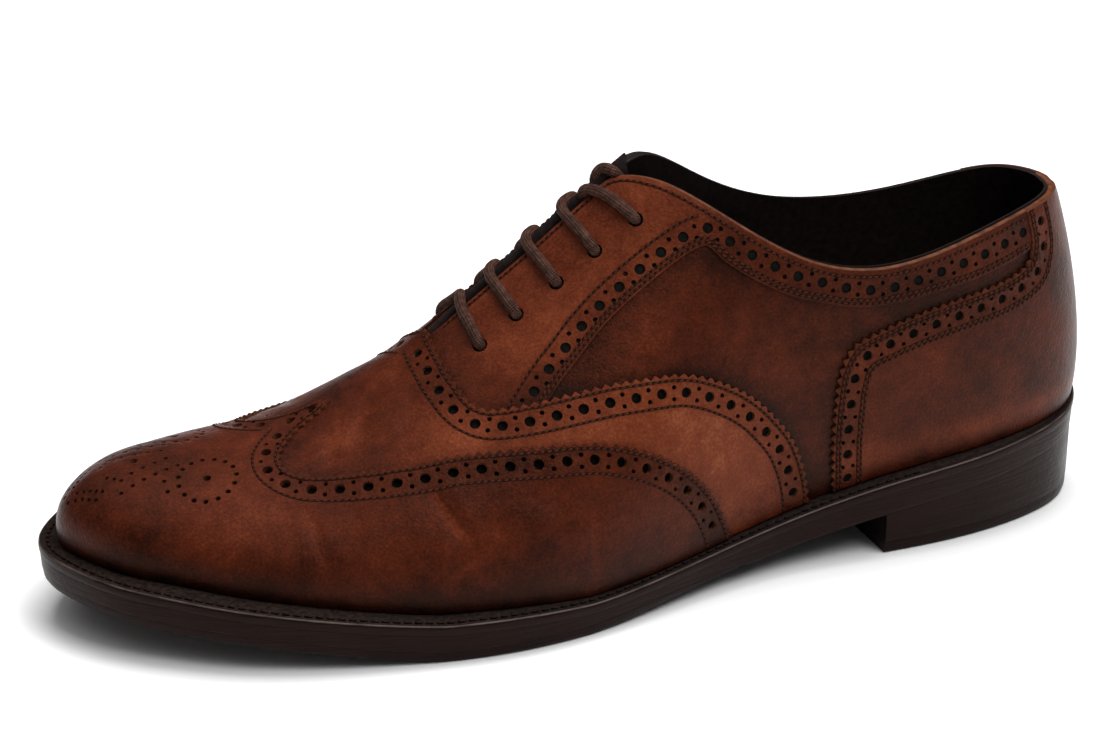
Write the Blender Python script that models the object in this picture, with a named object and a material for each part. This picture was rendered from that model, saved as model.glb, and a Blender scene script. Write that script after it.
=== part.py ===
"""A left full brogue oxford: a hollow leather upper on a stitched sole with a stacked heel.

The last is a loop of ribs. A rib rises from the feather line, where the upper meets the welt, to the
ridge over the instep and the toe, and every leather piece is cut from that one surface. Rib 0 is the
heel's back seam, rib 15 the toe, and the loop runs on along the medial side to rib 30, the heel again.
A place on the last is its rib and how far up the rib it lies, from 0 to 1.
+X runs to the toe, +Y to the lateral side, +Z up, and the shoe stands on z = 0.
"""
import bpy
import bmesh
import numpy as np
from mathutils import Vector
from mathutils.geometry import delaunay_2d_cdt

MM = 0.001

# Driving sizes
SOLE_LENGTH = 306 * MM
BALL_WIDTH = 102 * MM
INSTEP_HEIGHT = 92.5 * MM
HEEL_HEIGHT = 21 * MM
TOE_SPRING = 11.8 * MM

# Thicknesses and gaps
WALL = 2.0 * MM
OVERLAY = 1.0 * MM
CAP_OVERLAY = 1.9 * MM
WELT_THICK = 3.0 * MM
HALF_SOLE_THICK = 3.0 * MM
HALF_SOLE_EDGE = 0.9 * MM
TOP_LIFT_THICK = 3.5 * MM
INSOLE_RISE = 2.5 * MM
TONGUE_THICK = 1.6 * MM
LACE_RADIUS = 1.45 * MM
EYELET_RADIUS = 1.9 * MM
GAP = 0.3 * MM
OVERLAY_GAP = 0.4 * MM

# Places along the shoe
HEEL_BREAST_X = 76 * MM
HALF_SOLE_END_X = 122 * MM
HALF_SOLE_SKIVE = 30 * MM
THROAT_RIB = 8.6
HALF_LACING_GAP = 1.8 * MM

# The last, heel back to toe tip: the sole edge as shares of the length and of the ball width, the rib's
# ridge station as a share of the length, the shelf of the welt outside the upper, how far the rib
# bulges and climbs from the feather line, how wide it rolls over the ridge, and its slope down from it.
LAST_COLUMNS = ("x", "lateral", "medial", "ridge_x", "shelf", "flare", "rise", "crown", "drop")
LAST_ROWS = (
    (0.0, 0.0, 0.0, 14.4, 2.0, 6.5, 31.0, 22.0, 0.20),
    (2.1, 15.7, -16.2, 14.7, 2.5, 5.5, 31.0, 22.0, 0.20),
    (6.5, 26.5, -27.0, 16.3, 4.0, 4.5, 31.0, 22.0, 0.20),
    (15.0, 34.3, -33.3, 19.9, 6.0, 3.5, 33.0, 22.0, 0.20),
    (25.2, 36.3, -33.3, 25.5, 6.5, 3.0, 38.0, 21.0, 0.30),
    (35.0, 36.8, -29.4, 32.7, 5.5, 3.0, 42.0, 19.0, 0.60),
    (44.8, 43.1, -28.0, 41.2, 5.0, 3.5, 38.0, 18.0, 0.75),
    (54.6, 51.5, -32.8, 50.0, 5.8, 3.5, 31.0, 20.0, 0.75),
    (64.4, 54.4, -41.7, 59.2, 8.0, 3.0, 25.0, 22.0, 0.55),
    (73.2, 51.0, -48.5, 67.6, 9.2, 2.5, 20.0, 23.0, 0.00),
    (80.7, 45.6, -50.5, 74.5, 10.2, 2.0, 17.0, 24.5, 0.00),
    (87.1, 37.7, -48.5, 79.7, 10.4, 2.0, 15.0, 24.5, 0.00),
    (92.2, 27.5, -43.1, 83.7, 10.4, 2.0, 13.0, 24.0, 0.00),
    (95.9, 17.6, -33.8, 86.3, 9.1, 2.5, 12.3, 23.0, 0.00),
    (98.9, 3.4, -20.6, 87.7, 8.1, 2.8, 12.0, 22.5, 0.00),
    (100.0, -8.8, -8.8, 88.2, 7.7, 3.0, 12.0, 22.5, 0.00),
)
TOE_RIB = len(LAST_ROWS) - 1
LOOP = 2 * TOE_RIB

# The ridge, back to front: shares of the length, of the ball width and of the instep height.
RIDGE_COLUMNS = ("x", "y", "z")
RIDGE_ROWS = (
    (13.1, 0.0, 153.5), (19.6, 0.0, 152.5), (26.1, 0.0, 150.5), (34.0, -0.5, 143.8),
    (41.8, -1.5, 134.0), (45.8, -2.0, 125.0), (50.7, -2.9, 112.5), (55.6, -3.4, 99.7),
    (60.5, -4.4, 86.6), (64.4, -4.9, 75.6), (67.0, -5.4, 68.2), (70.3, -6.4, 61.0),
    (73.9, -7.4, 54.4), (77.8, -7.8, 49.2), (81.7, -8.3, 46.6), (85.6, -8.8, 45.4), (88.6, -8.8, 45.0),
)

# The sole's side view: the underside as shares of the heel height and of the toe spring, and the
# thickness from there up to the welt's top in millimetres. Just under zero is ground flat to z = 0.
SOLE_COLUMNS = ("x", "heel", "toe", "thick")
SOLE_ROWS = (
    (0.0, 100.0, 0.0, 8.2), (13.7, 77.0, 0.0, 9.0), (25.2, 57.5, 0.0, 9.5), (36.6, 31.5, 0.0, 8.6),
    (48.0, 11.0, 0.0, 8.8), (58.0, -2.0, 0.0, 10.2), (69.3, 0.0, 0.0, 11.2), (82.4, 0.0, 50.0, 10.6),
    (92.2, 0.0, 79.0, 10.8), (100.0, 0.0, 100.0, 10.6),
)

# The top line: shares of the length and, for each side, of the instep height.
COLLAR_COLUMNS = ("x", "lateral", "medial")
COLLAR_ROWS = (
    (-0.7, 95.0, 95.0), (3.3, 99.0, 99.6), (8.8, 98.3, 97.7), (15.4, 94.0, 93.2), (23.5, 89.3, 92.8),
    (31.7, 94.0, 99.5), (37.6, 105.4, 110.0), (41.2, 113.5, 117.8), (44.1, 118.4, 122.2),
    (47.4, 120.0, 123.8), (52.3, 121.0, 125.0),
)
CORNER_ROUNDING = 0.035

# Pattern lines on the lateral side, as (rib, up); the medial side mirrors them.
WING_LINE = (
    (5.55, 0.012), (5.75, 0.13), (6.10, 0.22), (6.55, 0.31), (7.00, 0.375), (7.50, 0.44), (8.00, 0.49),
    (8.50, 0.515), (9.00, 0.525), (9.55, 0.555), (10.20, 0.64), (10.52, 0.72), (10.60, 0.80),
    (10.50, 0.89), (10.25, 0.965), (9.90, 1.0),
)
VAMP_LINE = (
    (4.72, 0.012), (4.85, 0.11), (5.00, 0.19), (5.15, 0.245), (5.40, 0.30), (5.70, 0.35), (6.10, 0.402),
    (6.50, 0.45), (6.95, 0.493), (7.35, 0.53), (7.75, 0.568), (8.00, 0.60), (8.20, 0.655), (8.35, 0.74),
    (8.50, 0.86), (8.60, 1.0),
)
COUNTER_LINE = (
    (4.45, 0.012), (4.47, 0.125), (4.45, 0.19), (4.40, 0.255), (4.30, 0.292), (4.10, 0.31), (3.80, 0.323),
    (3.40, 0.338), (3.00, 0.348), (2.60, 0.355), (2.30, 0.362), (2.10, 0.38), (1.97, 0.41), (1.95, 0.45),
)
FACING_LINE = (
    (2.12, 0.385), (2.60, 0.378), (3.20, 0.363), (3.80, 0.352), (4.10, 0.358), (4.45, 0.378), (5.00, 0.438),
    (5.40, 0.512), (5.65, 0.575), (5.90, 0.612), (6.20, 0.617), (6.50, 0.62), (6.85, 0.614), (7.15, 0.59),
    (7.30, 0.567),
)
BACKSTAY_RIB = 1.95
FACING_VAMP_ROWS = (9, 15)

# Lacing: each bar runs from an eyelet up and forward over the gap to its mirror.
EYELETS = ((8.06, 0.785), (7.69, 0.80), (7.30, 0.797), (6.90, 0.792), (6.47, 0.782))
BAR_FORWARD_RIBS = 0.37

# Meshing
MERGE = 0.001 * MM
UPPER_ROWS = 8
CHART_RIB = 24 * MM
CHART_UP = 75 * MM
NEAR_RIDGE = 0.985


# Tables and splines

def columns(names, rows):
    """The table's columns by name."""
    values = np.array(rows, float)
    return {name: values[:, k] for k, name in enumerate(names)}


def natural_spline(xs, ys):
    """A natural cubic spline through the points, straight beyond both ends; slope=True gives its slope."""
    steps = np.diff(xs)
    count = len(xs)
    matrix = np.eye(count)
    bends = np.zeros(count)
    for k in range(1, count - 1):
        matrix[k, k - 1:k + 2] = steps[k - 1], 2 * (steps[k - 1] + steps[k]), steps[k]
        bends[k] = 6 * ((ys[k + 1] - ys[k]) / steps[k] - (ys[k] - ys[k - 1]) / steps[k - 1])
    bends = np.linalg.solve(matrix, bends)

    def curve(x, slope=False):
        x = np.asarray(x, float)
        inside = np.clip(x, xs[0], xs[-1])
        k = np.clip(np.searchsorted(xs, inside) - 1, 0, count - 2)
        before, after, step = inside - xs[k], xs[k + 1] - inside, steps[k]
        rate = (bends[k + 1] * before ** 2 - bends[k] * after ** 2) / (2 * step)
        rate = rate + (ys[k + 1] - ys[k]) / step - step * (bends[k + 1] - bends[k]) / 6
        if slope:
            return rate
        value = (bends[k] * after ** 3 + bends[k + 1] * before ** 3) / (6 * step)
        value = value + (ys[k] / step - bends[k] * step / 6) * after
        value = value + (ys[k + 1] / step - bends[k + 1] * step / 6) * before
        return value + rate * (x - inside)
    return curve


def loop_spline(values):
    """A closed cubic spline through values at whole ribs; slope=True gives its slope."""
    count = len(values)
    one = np.eye(count)
    matrix = 4 * one + np.roll(one, 1, 1) + np.roll(one, -1, 1)
    bends = np.linalg.solve(matrix, 6 * (np.roll(values, -1) - 2 * values + np.roll(values, 1)))

    def curve(rib, slope=False):
        rib = np.asarray(rib, float) % count
        k = np.floor(rib).astype(int) % count
        j = (k + 1) % count
        before = rib - np.floor(rib)
        after = 1 - before
        if slope:
            return (bends[j] * before ** 2 - bends[k] * after ** 2) / 2 + values[j] - values[k] \
                - (bends[j] - bends[k]) / 6
        return (bends[k] * after ** 3 + bends[j] * before ** 3) / 6 + (values[k] - bends[k] / 6) * after \
            + (values[j] - bends[j] / 6) * before
    return curve


def there_and_back(lateral, medial):
    """A closed column: the lateral rows to the toe, then the medial rows back to the heel."""
    return np.concatenate([lateral, medial[-2:0:-1]])


LAST = columns(LAST_COLUMNS, LAST_ROWS)
RIDGE = columns(RIDGE_COLUMNS, RIDGE_ROWS)
SOLE = columns(SOLE_COLUMNS, SOLE_ROWS)
COLLAR = columns(COLLAR_COLUMNS, COLLAR_ROWS)
PERCENT = 0.01

edge_x = loop_spline(there_and_back(LAST["x"], LAST["x"]) * PERCENT * SOLE_LENGTH)
edge_y = loop_spline(there_and_back(LAST["lateral"], LAST["medial"]) * PERCENT * BALL_WIDTH)
ridge_station = loop_spline(there_and_back(LAST["ridge_x"], LAST["ridge_x"]) * PERCENT * SOLE_LENGTH)
shelf = loop_spline(there_and_back(LAST["shelf"], LAST["shelf"]) * MM)
flare = loop_spline(there_and_back(LAST["flare"], LAST["flare"]) * MM)
rise = loop_spline(there_and_back(LAST["rise"], LAST["rise"]) * MM)
crown = loop_spline(there_and_back(LAST["crown"], LAST["crown"]) * MM)
drop = loop_spline(there_and_back(LAST["drop"], LAST["drop"]))

RIDGE_X = RIDGE["x"] * PERCENT * SOLE_LENGTH
ridge_y = natural_spline(RIDGE_X, RIDGE["y"] * PERCENT * BALL_WIDTH)
ridge_z = natural_spline(RIDGE_X, RIDGE["z"] * PERCENT * INSTEP_HEIGHT)

SOLE_X = SOLE["x"] * PERCENT * SOLE_LENGTH
SOLE_LOW = SOLE["heel"] * PERCENT * HEEL_HEIGHT + SOLE["toe"] * PERCENT * TOE_SPRING
sole_profile = natural_spline(SOLE_X, SOLE_LOW)
sole_thickness = natural_spline(SOLE_X, SOLE["thick"] * MM)

COLLAR_X = COLLAR["x"] * PERCENT * SOLE_LENGTH
collar_lateral = natural_spline(COLLAR_X, COLLAR["lateral"] * PERCENT * INSTEP_HEIGHT)
collar_medial = natural_spline(COLLAR_X, COLLAR["medial"] * PERCENT * INSTEP_HEIGHT)


# The last's surface

def underside(x):
    """Height of the sole's underside, ground flat under the ball."""
    return np.maximum(sole_profile(x), 0.0)


def seat(x):
    """Height of the welt's top."""
    return underside(x) + sole_thickness(x)


def edge(rib, inset):
    """Plan position on the sole edge, moved inwards by the inset."""
    along_x, along_y = edge_x(rib, True), edge_y(rib, True)
    length = np.hypot(along_x, along_y)
    return edge_x(rib) + along_y / length * inset, edge_y(rib) - along_x / length * inset


def on_last(rib, up):
    """A point of the last's surface: each rib is a cubic curve from the feather line to the ridge."""
    rib, up = np.broadcast_arrays(np.asarray(rib, float), np.asarray(up, float))
    foot_x, foot_y = edge(rib, shelf(rib))
    foot = np.stack([foot_x, foot_y, seat(foot_x) + GAP], -1)
    top_x = ridge_station(rib)
    top = np.stack([top_x, ridge_y(top_x), ridge_z(top_x)], -1)
    out = (foot - top)[..., :2]
    out = out / np.linalg.norm(out, axis=-1, keepdims=True)
    low_reach = np.concatenate([out * flare(rib)[..., None], rise(rib)[..., None]], -1)
    roll = ridge_z(top_x, True) * out[..., 0] - np.maximum(drop(rib), 0)
    high_reach = crown(rib)[..., None] * np.concatenate([out, roll[..., None]], -1)
    t = up[..., None]
    s = 1 - t
    return s ** 3 * foot + 3 * s ** 2 * t * (foot + low_reach) + 3 * s * t ** 2 * (top + high_reach) + t ** 3 * top


def side_normal(rib, up):
    """Outward normal from the slopes of one side's surface."""
    step = 0.004
    up = np.clip(up, step, NEAR_RIDGE)
    climb = on_last(rib, up + step) - on_last(rib, up - step)
    along = on_last(rib + step, up) - on_last(rib - step, up)
    normal = np.cross(climb, along)
    return normal / np.linalg.norm(normal, axis=-1, keepdims=True)


def ramp(value, low, high):
    """0 below low, 1 above high and straight between."""
    return np.clip((value - low) / (high - low), 0, 1)


def outward(rib, up):
    """Outward normal, the same from both sides at the ridge in front of the throat."""
    rib, up = np.broadcast_arrays(np.asarray(rib, float), np.asarray(up, float))
    front = np.minimum(rib % LOOP, LOOP - rib % LOOP)
    share = 0.5 * ramp(up, 0.85, 1.0) * ramp(front, THROAT_RIB - 0.2, THROAT_RIB + 0.2)
    normal = side_normal(rib, up) * (1 - share[..., None]) + side_normal(LOOP - rib, up) * share[..., None]
    return normal / np.linalg.norm(normal, axis=-1, keepdims=True)


def lifted(rib, up, height):
    """A point at a height above the last's surface."""
    return on_last(rib, up) + outward(rib, up) * height


def climb_to(rib, low, high, reached):
    """How far up each rib a growing measure reaches zero, by halving."""
    low = np.full(rib.shape, low)
    high = np.full(rib.shape, high)
    for _ in range(40):
        middle = (low + high) / 2
        past = reached(on_last(rib, middle)) >= 0
        high = np.where(past, middle, high)
        low = np.where(past, low, middle)
    return (low + high) / 2


def top_share(rib):
    """How far up each rib the upper goes: to the collar, the lacing gap or, in front, the ridge."""
    rib = np.atleast_1d(np.asarray(rib, float)) % LOOP
    lateral = rib <= TOE_RIB
    side = np.where(lateral, 1.0, -1.0)
    front = np.minimum(rib, LOOP - rib)

    def above_collar(point):
        return point[..., 2] - np.where(lateral, collar_lateral(point[..., 0]), collar_medial(point[..., 0]))

    def inside_gap(point):
        return HALF_LACING_GAP - side * (point[..., 1] - ridge_y(point[..., 0]))

    at_collar = climb_to(rib, 0.1, 1.0, above_collar)
    at_gap = climb_to(rib, 0.6, 1.0, inside_gap)
    soft = -CORNER_ROUNDING * np.log(np.exp(-at_collar / CORNER_ROUNDING) + np.exp(-at_gap / CORNER_ROUNDING))
    behind = np.minimum(soft, np.minimum(at_collar, at_gap))
    return np.where(front >= THROAT_RIB - 1e-6, 1.0, behind)


# Pattern lines in the flat chart

def smooth_line(rows, spacing):
    """Points at even steps along a spline through chart rows."""
    rows = np.array(rows, float)
    lengths = np.hypot(np.diff(rows[:, 0]) * CHART_RIB, np.diff(rows[:, 1]) * CHART_UP)
    reach = np.concatenate([[0.0], np.cumsum(lengths)])
    at = np.linspace(0, reach[-1], max(2, int(round(reach[-1] / spacing)) + 1))
    return np.stack([natural_spline(reach, rows[:, 0])(at), natural_spline(reach, rows[:, 1])(at)], -1)


def moved_line(line, distance):
    """The line moved to its left by a distance, in the chart."""
    flat = line * (CHART_RIB, CHART_UP)
    along = np.gradient(flat, axis=0)
    along = along / np.linalg.norm(along, axis=1, keepdims=True)
    return (flat + np.stack([-along[:, 1], along[:, 0]], -1) * distance) / (CHART_RIB, CHART_UP)


def over_the_ridge(line):
    """The line's mirror on the medial side of the front chart, run the other way."""
    return (line * (1, -1) + (0, 2))[::-1]


def straight(start, end, spacing):
    """Chart points on a straight run, without its ends."""
    start, end = np.array(start, float), np.array(end, float)
    count = int(round(np.hypot(*((end - start) * (CHART_RIB, CHART_UP))) / spacing))
    shares = np.arange(1, max(count, 1)) / max(count, 1)
    return start + (end - start) * shares[:, None]


def front_place(chart):
    """Rib and up of front chart points, whose second value runs on over the ridge to 2."""
    medial = chart[:, 1] > 1
    return np.where(medial, LOOP - chart[:, 0], chart[:, 0]), np.where(medial, 2 - chart[:, 1], chart[:, 1])


def side_place(chart):
    """Rib and up of chart points on one side, or round the heel with medial ribs below 0."""
    return chart[:, 0] % LOOP, chart[:, 1]


def inside_points(outline, spacing):
    """A net of points inside a chart outline, clear of its edge."""
    flat = outline * (CHART_RIB, CHART_UP)
    low, high = flat.min(0), flat.max(0)
    rows = np.arange(low[1] + spacing / 2, high[1], spacing * 0.866)
    net = [(x + (k % 2) * spacing / 2, y) for k, y in enumerate(rows) for x in np.arange(low[0], high[0], spacing)]
    net = np.array(net)
    start, end = flat, np.roll(flat, -1, 0)
    crossings = np.zeros(len(net), int)
    nearest = np.full(len(net), 1e9)
    for a, b in zip(start, end):
        spans = (a[1] > net[:, 1]) != (b[1] > net[:, 1])
        at = a[0] + (net[:, 1] - a[1]) * (b[0] - a[0]) / (b[1] - a[1] if b[1] != a[1] else 1e-12)
        crossings += spans & (net[:, 0] < at)
        run = b - a
        share = np.clip(((net - a) @ run) / max(run @ run, 1e-15), 0, 1)
        nearest = np.minimum(nearest, np.linalg.norm(net - a - share[:, None] * run, axis=1))
    keep = (crossings % 2 == 1) & (nearest > spacing * 0.55)
    return net[keep] / (CHART_RIB, CHART_UP)


# Objects

def material(name, colour, roughness):
    """A Principled material of one colour."""
    made = bpy.data.materials.new(name)
    made.use_nodes = True
    shader = made.node_tree.nodes["Principled BSDF"]
    shader.inputs["Base Color"].default_value = (*colour, 1.0)
    shader.inputs["Roughness"].default_value = roughness
    shader.inputs["Metallic"].default_value = 0.0
    return made


def add_object(name, mesh_data, look):
    """A named object on the root empty."""
    made = bpy.data.objects.new(name, mesh_data)
    bpy.context.collection.objects.link(made)
    made.parent = root
    if look:
        made.data.materials.append(look)
    return made


def object_from(name, points, faces, look, outward_faces=False):
    """A mesh object from points and faces, with points at one place merged."""
    shape = bmesh.new()
    corners = [shape.verts.new(point) for point in points]
    for face in faces:
        shape.faces.new([corners[k] for k in face])
    bmesh.ops.remove_doubles(shape, verts=shape.verts, dist=MERGE)
    bmesh.ops.dissolve_degenerate(shape, edges=shape.edges, dist=MERGE)
    if outward_faces:
        bmesh.ops.recalc_face_normals(shape, faces=shape.faces)
    data = bpy.data.meshes.new(name)
    shape.to_mesh(data)
    shape.free()
    data.shade_smooth()
    data.set_sharp_from_angle(angle=0.7)
    return add_object(name, data, look)


def thicken(piece, thickness, outwards):
    """Gives a sheet its wall."""
    wall = piece.modifiers.new("wall", "SOLIDIFY")
    wall.thickness = thickness
    wall.offset = 1.0 if outwards else -1.0
    wall.use_even_offset = True


def patch(name, outline, place, spacing, thickness, look):
    """A leather overlay cut from the last's surface along a chart outline."""
    net = inside_points(outline, spacing)
    chart = np.concatenate([outline, net]) * (CHART_RIB, CHART_UP)
    count = len(outline)
    rim = [(k, (k + 1) % count) for k in range(count)]
    flat, _, triangles, _, _, _ = delaunay_2d_cdt([Vector(p) for p in chart / MM], rim, [], 1, 1e-6)
    rib, up = place(np.array([tuple(p) for p in flat]) * MM / (CHART_RIB, CHART_UP))
    points = lifted(rib, np.clip(up, 0, 1), OVERLAY_GAP)
    piece = object_from(name, points, [tuple(reversed(face)) for face in triangles], look)
    thicken(piece, thickness, outwards=True)
    return piece


# Sole pieces

def slab(name, ribs, rings, look):
    """A solid between outline rings from bottom to top; a ring is its inset and its height by x.

    Each ring has a lateral and a medial point at every rib, and the caps run straight across.
    """
    points, faces = [], []
    count = len(ribs)
    for inset, height in rings:
        for side_ribs in (ribs, LOOP - ribs):
            x, y = edge(side_ribs, inset(side_ribs))
            points.extend(np.stack([x, y, height(x)], -1))

    def at(ring, side, k):
        return ring * 2 * count + side * count + k

    last = len(rings) - 1
    for k in range(count - 1):
        for ring in (0, last):
            faces.append((at(ring, 0, k), at(ring, 0, k + 1), at(ring, 1, k + 1), at(ring, 1, k)))
        for ring in range(last):
            for side in (0, 1):
                faces.append((at(ring, side, k), at(ring, side, k + 1), at(ring + 1, side, k + 1),
                              at(ring + 1, side, k)))
    for ring in range(last):
        for k in (0, count - 1):
            faces.append((at(ring, 0, k), at(ring, 1, k), at(ring + 1, 1, k), at(ring + 1, 0, k)))
    return object_from(name, points, faces, look, outward_faces=True)


def level(inset):
    """An inset that is the same round the edge."""
    return lambda rib: np.full(np.shape(rib), inset)


def rib_at(x):
    """The lateral rib whose sole edge is at x."""
    ribs = np.linspace(0, TOE_RIB, 3001)
    return float(np.interp(x, edge_x(ribs), ribs))


def half_sole_thickness(x):
    """The half sole's thickness, skived thin towards the waist."""
    share = ramp(x, HALF_SOLE_END_X, HALF_SOLE_END_X + HALF_SOLE_SKIVE)
    return HALF_SOLE_EDGE + (HALF_SOLE_THICK - HALF_SOLE_EDGE) * share


def outsole_bottom(x):
    """The outsole's underside, raised by the half sole in front."""
    covered = x > HALF_SOLE_END_X
    return underside(x) + np.where(covered, half_sole_thickness(x) + GAP, 0.0)


def outsole_top(x):
    return seat(x) - WELT_THICK - GAP


def between(low, high, share):
    """A height at a share of the way between two heights."""
    return lambda x: low(x) + (high(x) - low(x)) * share


def make_outsole(look):
    step = 0.03
    end = rib_at(HALF_SOLE_END_X)
    ribs = np.concatenate([np.linspace(0, end - step, 14), [end + step], np.linspace(end + 0.5, TOE_RIB, 24)])
    rings = ((level(1.6 * MM), outsole_bottom), (level(0.8 * MM), between(outsole_bottom, outsole_top, 0.3)),
             (level(0.6 * MM), between(outsole_bottom, outsole_top, 0.75)), (level(1.0 * MM), outsole_top))
    return slab("outsole", ribs, rings, look)


def make_half_sole(look):
    ribs = np.concatenate([[rib_at(HALF_SOLE_END_X + 1.6 * MM)],
                           np.linspace(rib_at(HALF_SOLE_END_X + HALF_SOLE_SKIVE), TOE_RIB, 25)])

    def top(x):
        return underside(x) + half_sole_thickness(x)
    rings = ((level(2.2 * MM), underside), (level(1.2 * MM), between(underside, top, 0.45)),
             (level(1.1 * MM), top))
    return slab("half_sole", ribs, rings, look)


def make_welt(look):
    """The stitched strip round the sole: a closed ring whose inner edge lies under the upper's wall."""
    ribs = np.linspace(0, LOOP, 72, endpoint=False)
    inner = shelf(ribs) + WALL + 1.6 * MM
    section = ((level(0.4 * MM)(ribs), WELT_THICK), (level(0.0)(ribs), WELT_THICK * 0.45), (level(0.5 * MM)(ribs), 0.0),
               (inner, 0.0), (inner, WELT_THICK))
    points = []
    for inset, depth in section:
        x, y = edge(ribs, inset)
        points.extend(np.stack([x, y, seat(x) - depth], -1))
    count, sides = len(ribs), len(section)
    faces = []
    for side in range(sides):
        for k in range(count):
            here, there = side * count, (side + 1) % sides * count
            faces.append((here + k, here + (k + 1) % count, there + (k + 1) % count, there + k))
    return object_from("welt", points, faces, look, outward_faces=True)


def make_heel(look):
    """The stack between the outsole's seat and the top lift, flaring a little to the back."""
    ribs = np.linspace(0, rib_at(HEEL_BREAST_X), 15)

    def low(x):
        return np.full(np.shape(x), TOP_LIFT_THICK + GAP)

    def high(x):
        return underside(x) - GAP
    rings = ((level(1.1 * MM), low), (level(1.0 * MM), between(low, high, 0.5)), (level(1.5 * MM), high))
    return slab("heel", ribs, rings, look)


def make_top_lift(look):
    ribs = np.linspace(0, rib_at(HEEL_BREAST_X), 15)

    def flat(height):
        return lambda x: np.full(np.shape(x), height)
    rings = ((level(1.9 * MM), flat(0.0)), (level(1.2 * MM), flat(0.8 * MM)), (level(1.1 * MM), flat(TOP_LIFT_THICK)))
    return slab("top_lift", ribs, rings, look)


def make_insole(look):
    ribs = np.linspace(0, TOE_RIB, 31)

    def inset(rib):
        return shelf(rib) + WALL + 2.2 * MM

    def low(x):
        return seat(x) - WELT_THICK

    def high(x):
        return seat(x) + INSOLE_RISE
    return slab("insole", ribs, ((inset, low), (inset, high)), look)


# Leather pieces

def upper_ribs():
    """Ribs of one side's mesh, closer round the facing's corner, with the throat among them."""
    behind_throat = [np.linspace(0, 5.4, 14), np.linspace(5.65, 7.1, 8), np.linspace(7.4, THROAT_RIB, 5)]
    in_front = [THROAT_RIB + 0.2 * np.arange(1, 5), np.linspace(THROAT_RIB + 1.2, TOE_RIB, 13)]
    return np.concatenate(behind_throat + in_front)


def make_upper(look):
    """The hollow upper: a sheet over all ribs, joined along the ridge in front, with its wall inside."""
    half = upper_ribs()
    ribs = np.concatenate([half, (LOOP - half)[-2:0:-1]])
    shares = np.linspace(0, 1, UPPER_ROWS + 1)
    ups = top_share(ribs)[:, None] * shares[None, :]
    points = on_last(np.repeat(ribs[:, None], UPPER_ROWS + 1, 1), ups).reshape(-1, 3)
    faces = []
    count = len(ribs)
    for k in range(count):
        here, there = k * (UPPER_ROWS + 1), (k + 1) % count * (UPPER_ROWS + 1)
        for j in range(UPPER_ROWS):
            faces.append((here + j, here + j + 1, there + j + 1, there + j))
    piece = object_from("upper", points, faces, look)
    thicken(piece, WALL, outwards=False)
    return piece


def make_wing_cap(look):
    spacing = 7.0 * MM
    line = smooth_line(WING_LINE, spacing)
    tail = line[0]
    low = straight((TOE_RIB, tail[1]), tail, spacing)
    toe = straight((TOE_RIB, tail[1]), (TOE_RIB, 1.0), spacing)
    lateral = np.concatenate([toe[::-1], [(TOE_RIB, tail[1])], low, line])
    outline = np.concatenate([lateral, over_the_ridge(lateral[:-1])])
    return patch("wing_cap", outline, front_place, spacing, CAP_OVERLAY, look)


def make_vamp(look):
    spacing = 5.5 * MM
    back = smooth_line(VAMP_LINE, spacing)
    front = moved_line(smooth_line(WING_LINE, spacing), 0.6 * MM)
    front[0, 1] = back[0, 1]
    front[-1, 1] = 1.0
    low = straight(front[0], back[0], spacing)
    lateral = np.concatenate([front[::-1], low, back])
    outline = np.concatenate([lateral, over_the_ridge(lateral[1:-1])])
    return patch("vamp", outline, front_place, spacing, OVERLAY, look)


def below_top(ribs):
    """Chart points just under the upper's top edge."""
    return np.stack([ribs, top_share(ribs) - 0.008], -1)


def make_counter(look):
    spacing = 6.5 * MM
    line = smooth_line(COUNTER_LINE, spacing)
    top = below_top(np.linspace(BACKSTAY_RIB, -BACKSTAY_RIB, 9))
    low = straight(line[0] * (-1, 1), line[0], spacing)
    outline = np.concatenate([line, top, (line * (-1, 1))[::-1], low])
    return patch("counter", outline, side_place, spacing, OVERLAY, look)


def make_facing(name, medial, look):
    """The facing with its eyelets and the strip under the collar, in one piece."""
    spacing = 6.5 * MM
    first, last = FACING_VAMP_ROWS
    low = smooth_line(FACING_LINE, spacing)
    along_vamp = moved_line(smooth_line(VAMP_LINE[first:last], spacing), 0.6 * MM)
    top_ribs = np.concatenate([np.linspace(8.45, 7.0, 8), np.linspace(6.8, 5.6, 9), np.linspace(5.3, low[0, 0], 10)])
    if medial:
        top = below_top(LOOP - top_ribs) * (-1, 1) + (LOOP, 0)
    else:
        top = below_top(top_ribs)
    outline = np.concatenate([low, along_vamp, top])
    if medial:
        outline = (outline * (-1, 1) + (LOOP, 0))[::-1]
    return patch(name, outline, side_place, spacing, OVERLAY, look)


def make_tongue(look):
    """A soft sheet under the facings, tucked under the vamp in front."""
    depth = WALL + 0.7 * MM
    ribs = np.linspace(6.55, 9.0, 9)
    side_ups = np.array([0.74, 0.80, 0.86, 0.915])
    points = []
    for rib in ribs:
        lateral = lifted(np.full(4, rib), side_ups, -depth)
        medial = lifted(np.full(4, LOOP - rib), side_ups, -depth)
        middle = on_last(rib, 1.0) - (0, 0, depth * np.hypot(1, float(drop(rib))) * 1.15)
        points.extend([*lateral, middle, *medial[::-1]])
    across = 2 * len(side_ups) + 1
    faces = []
    for k in range(len(ribs) - 1):
        for j in range(across - 1):
            here, there = k * across + j, (k + 1) * across + j
            faces.append((here, here + 1, there + 1, there))
    piece = object_from("tongue", points, faces, look)
    thicken(piece, TONGUE_THICK, outwards=False)
    return piece


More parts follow.
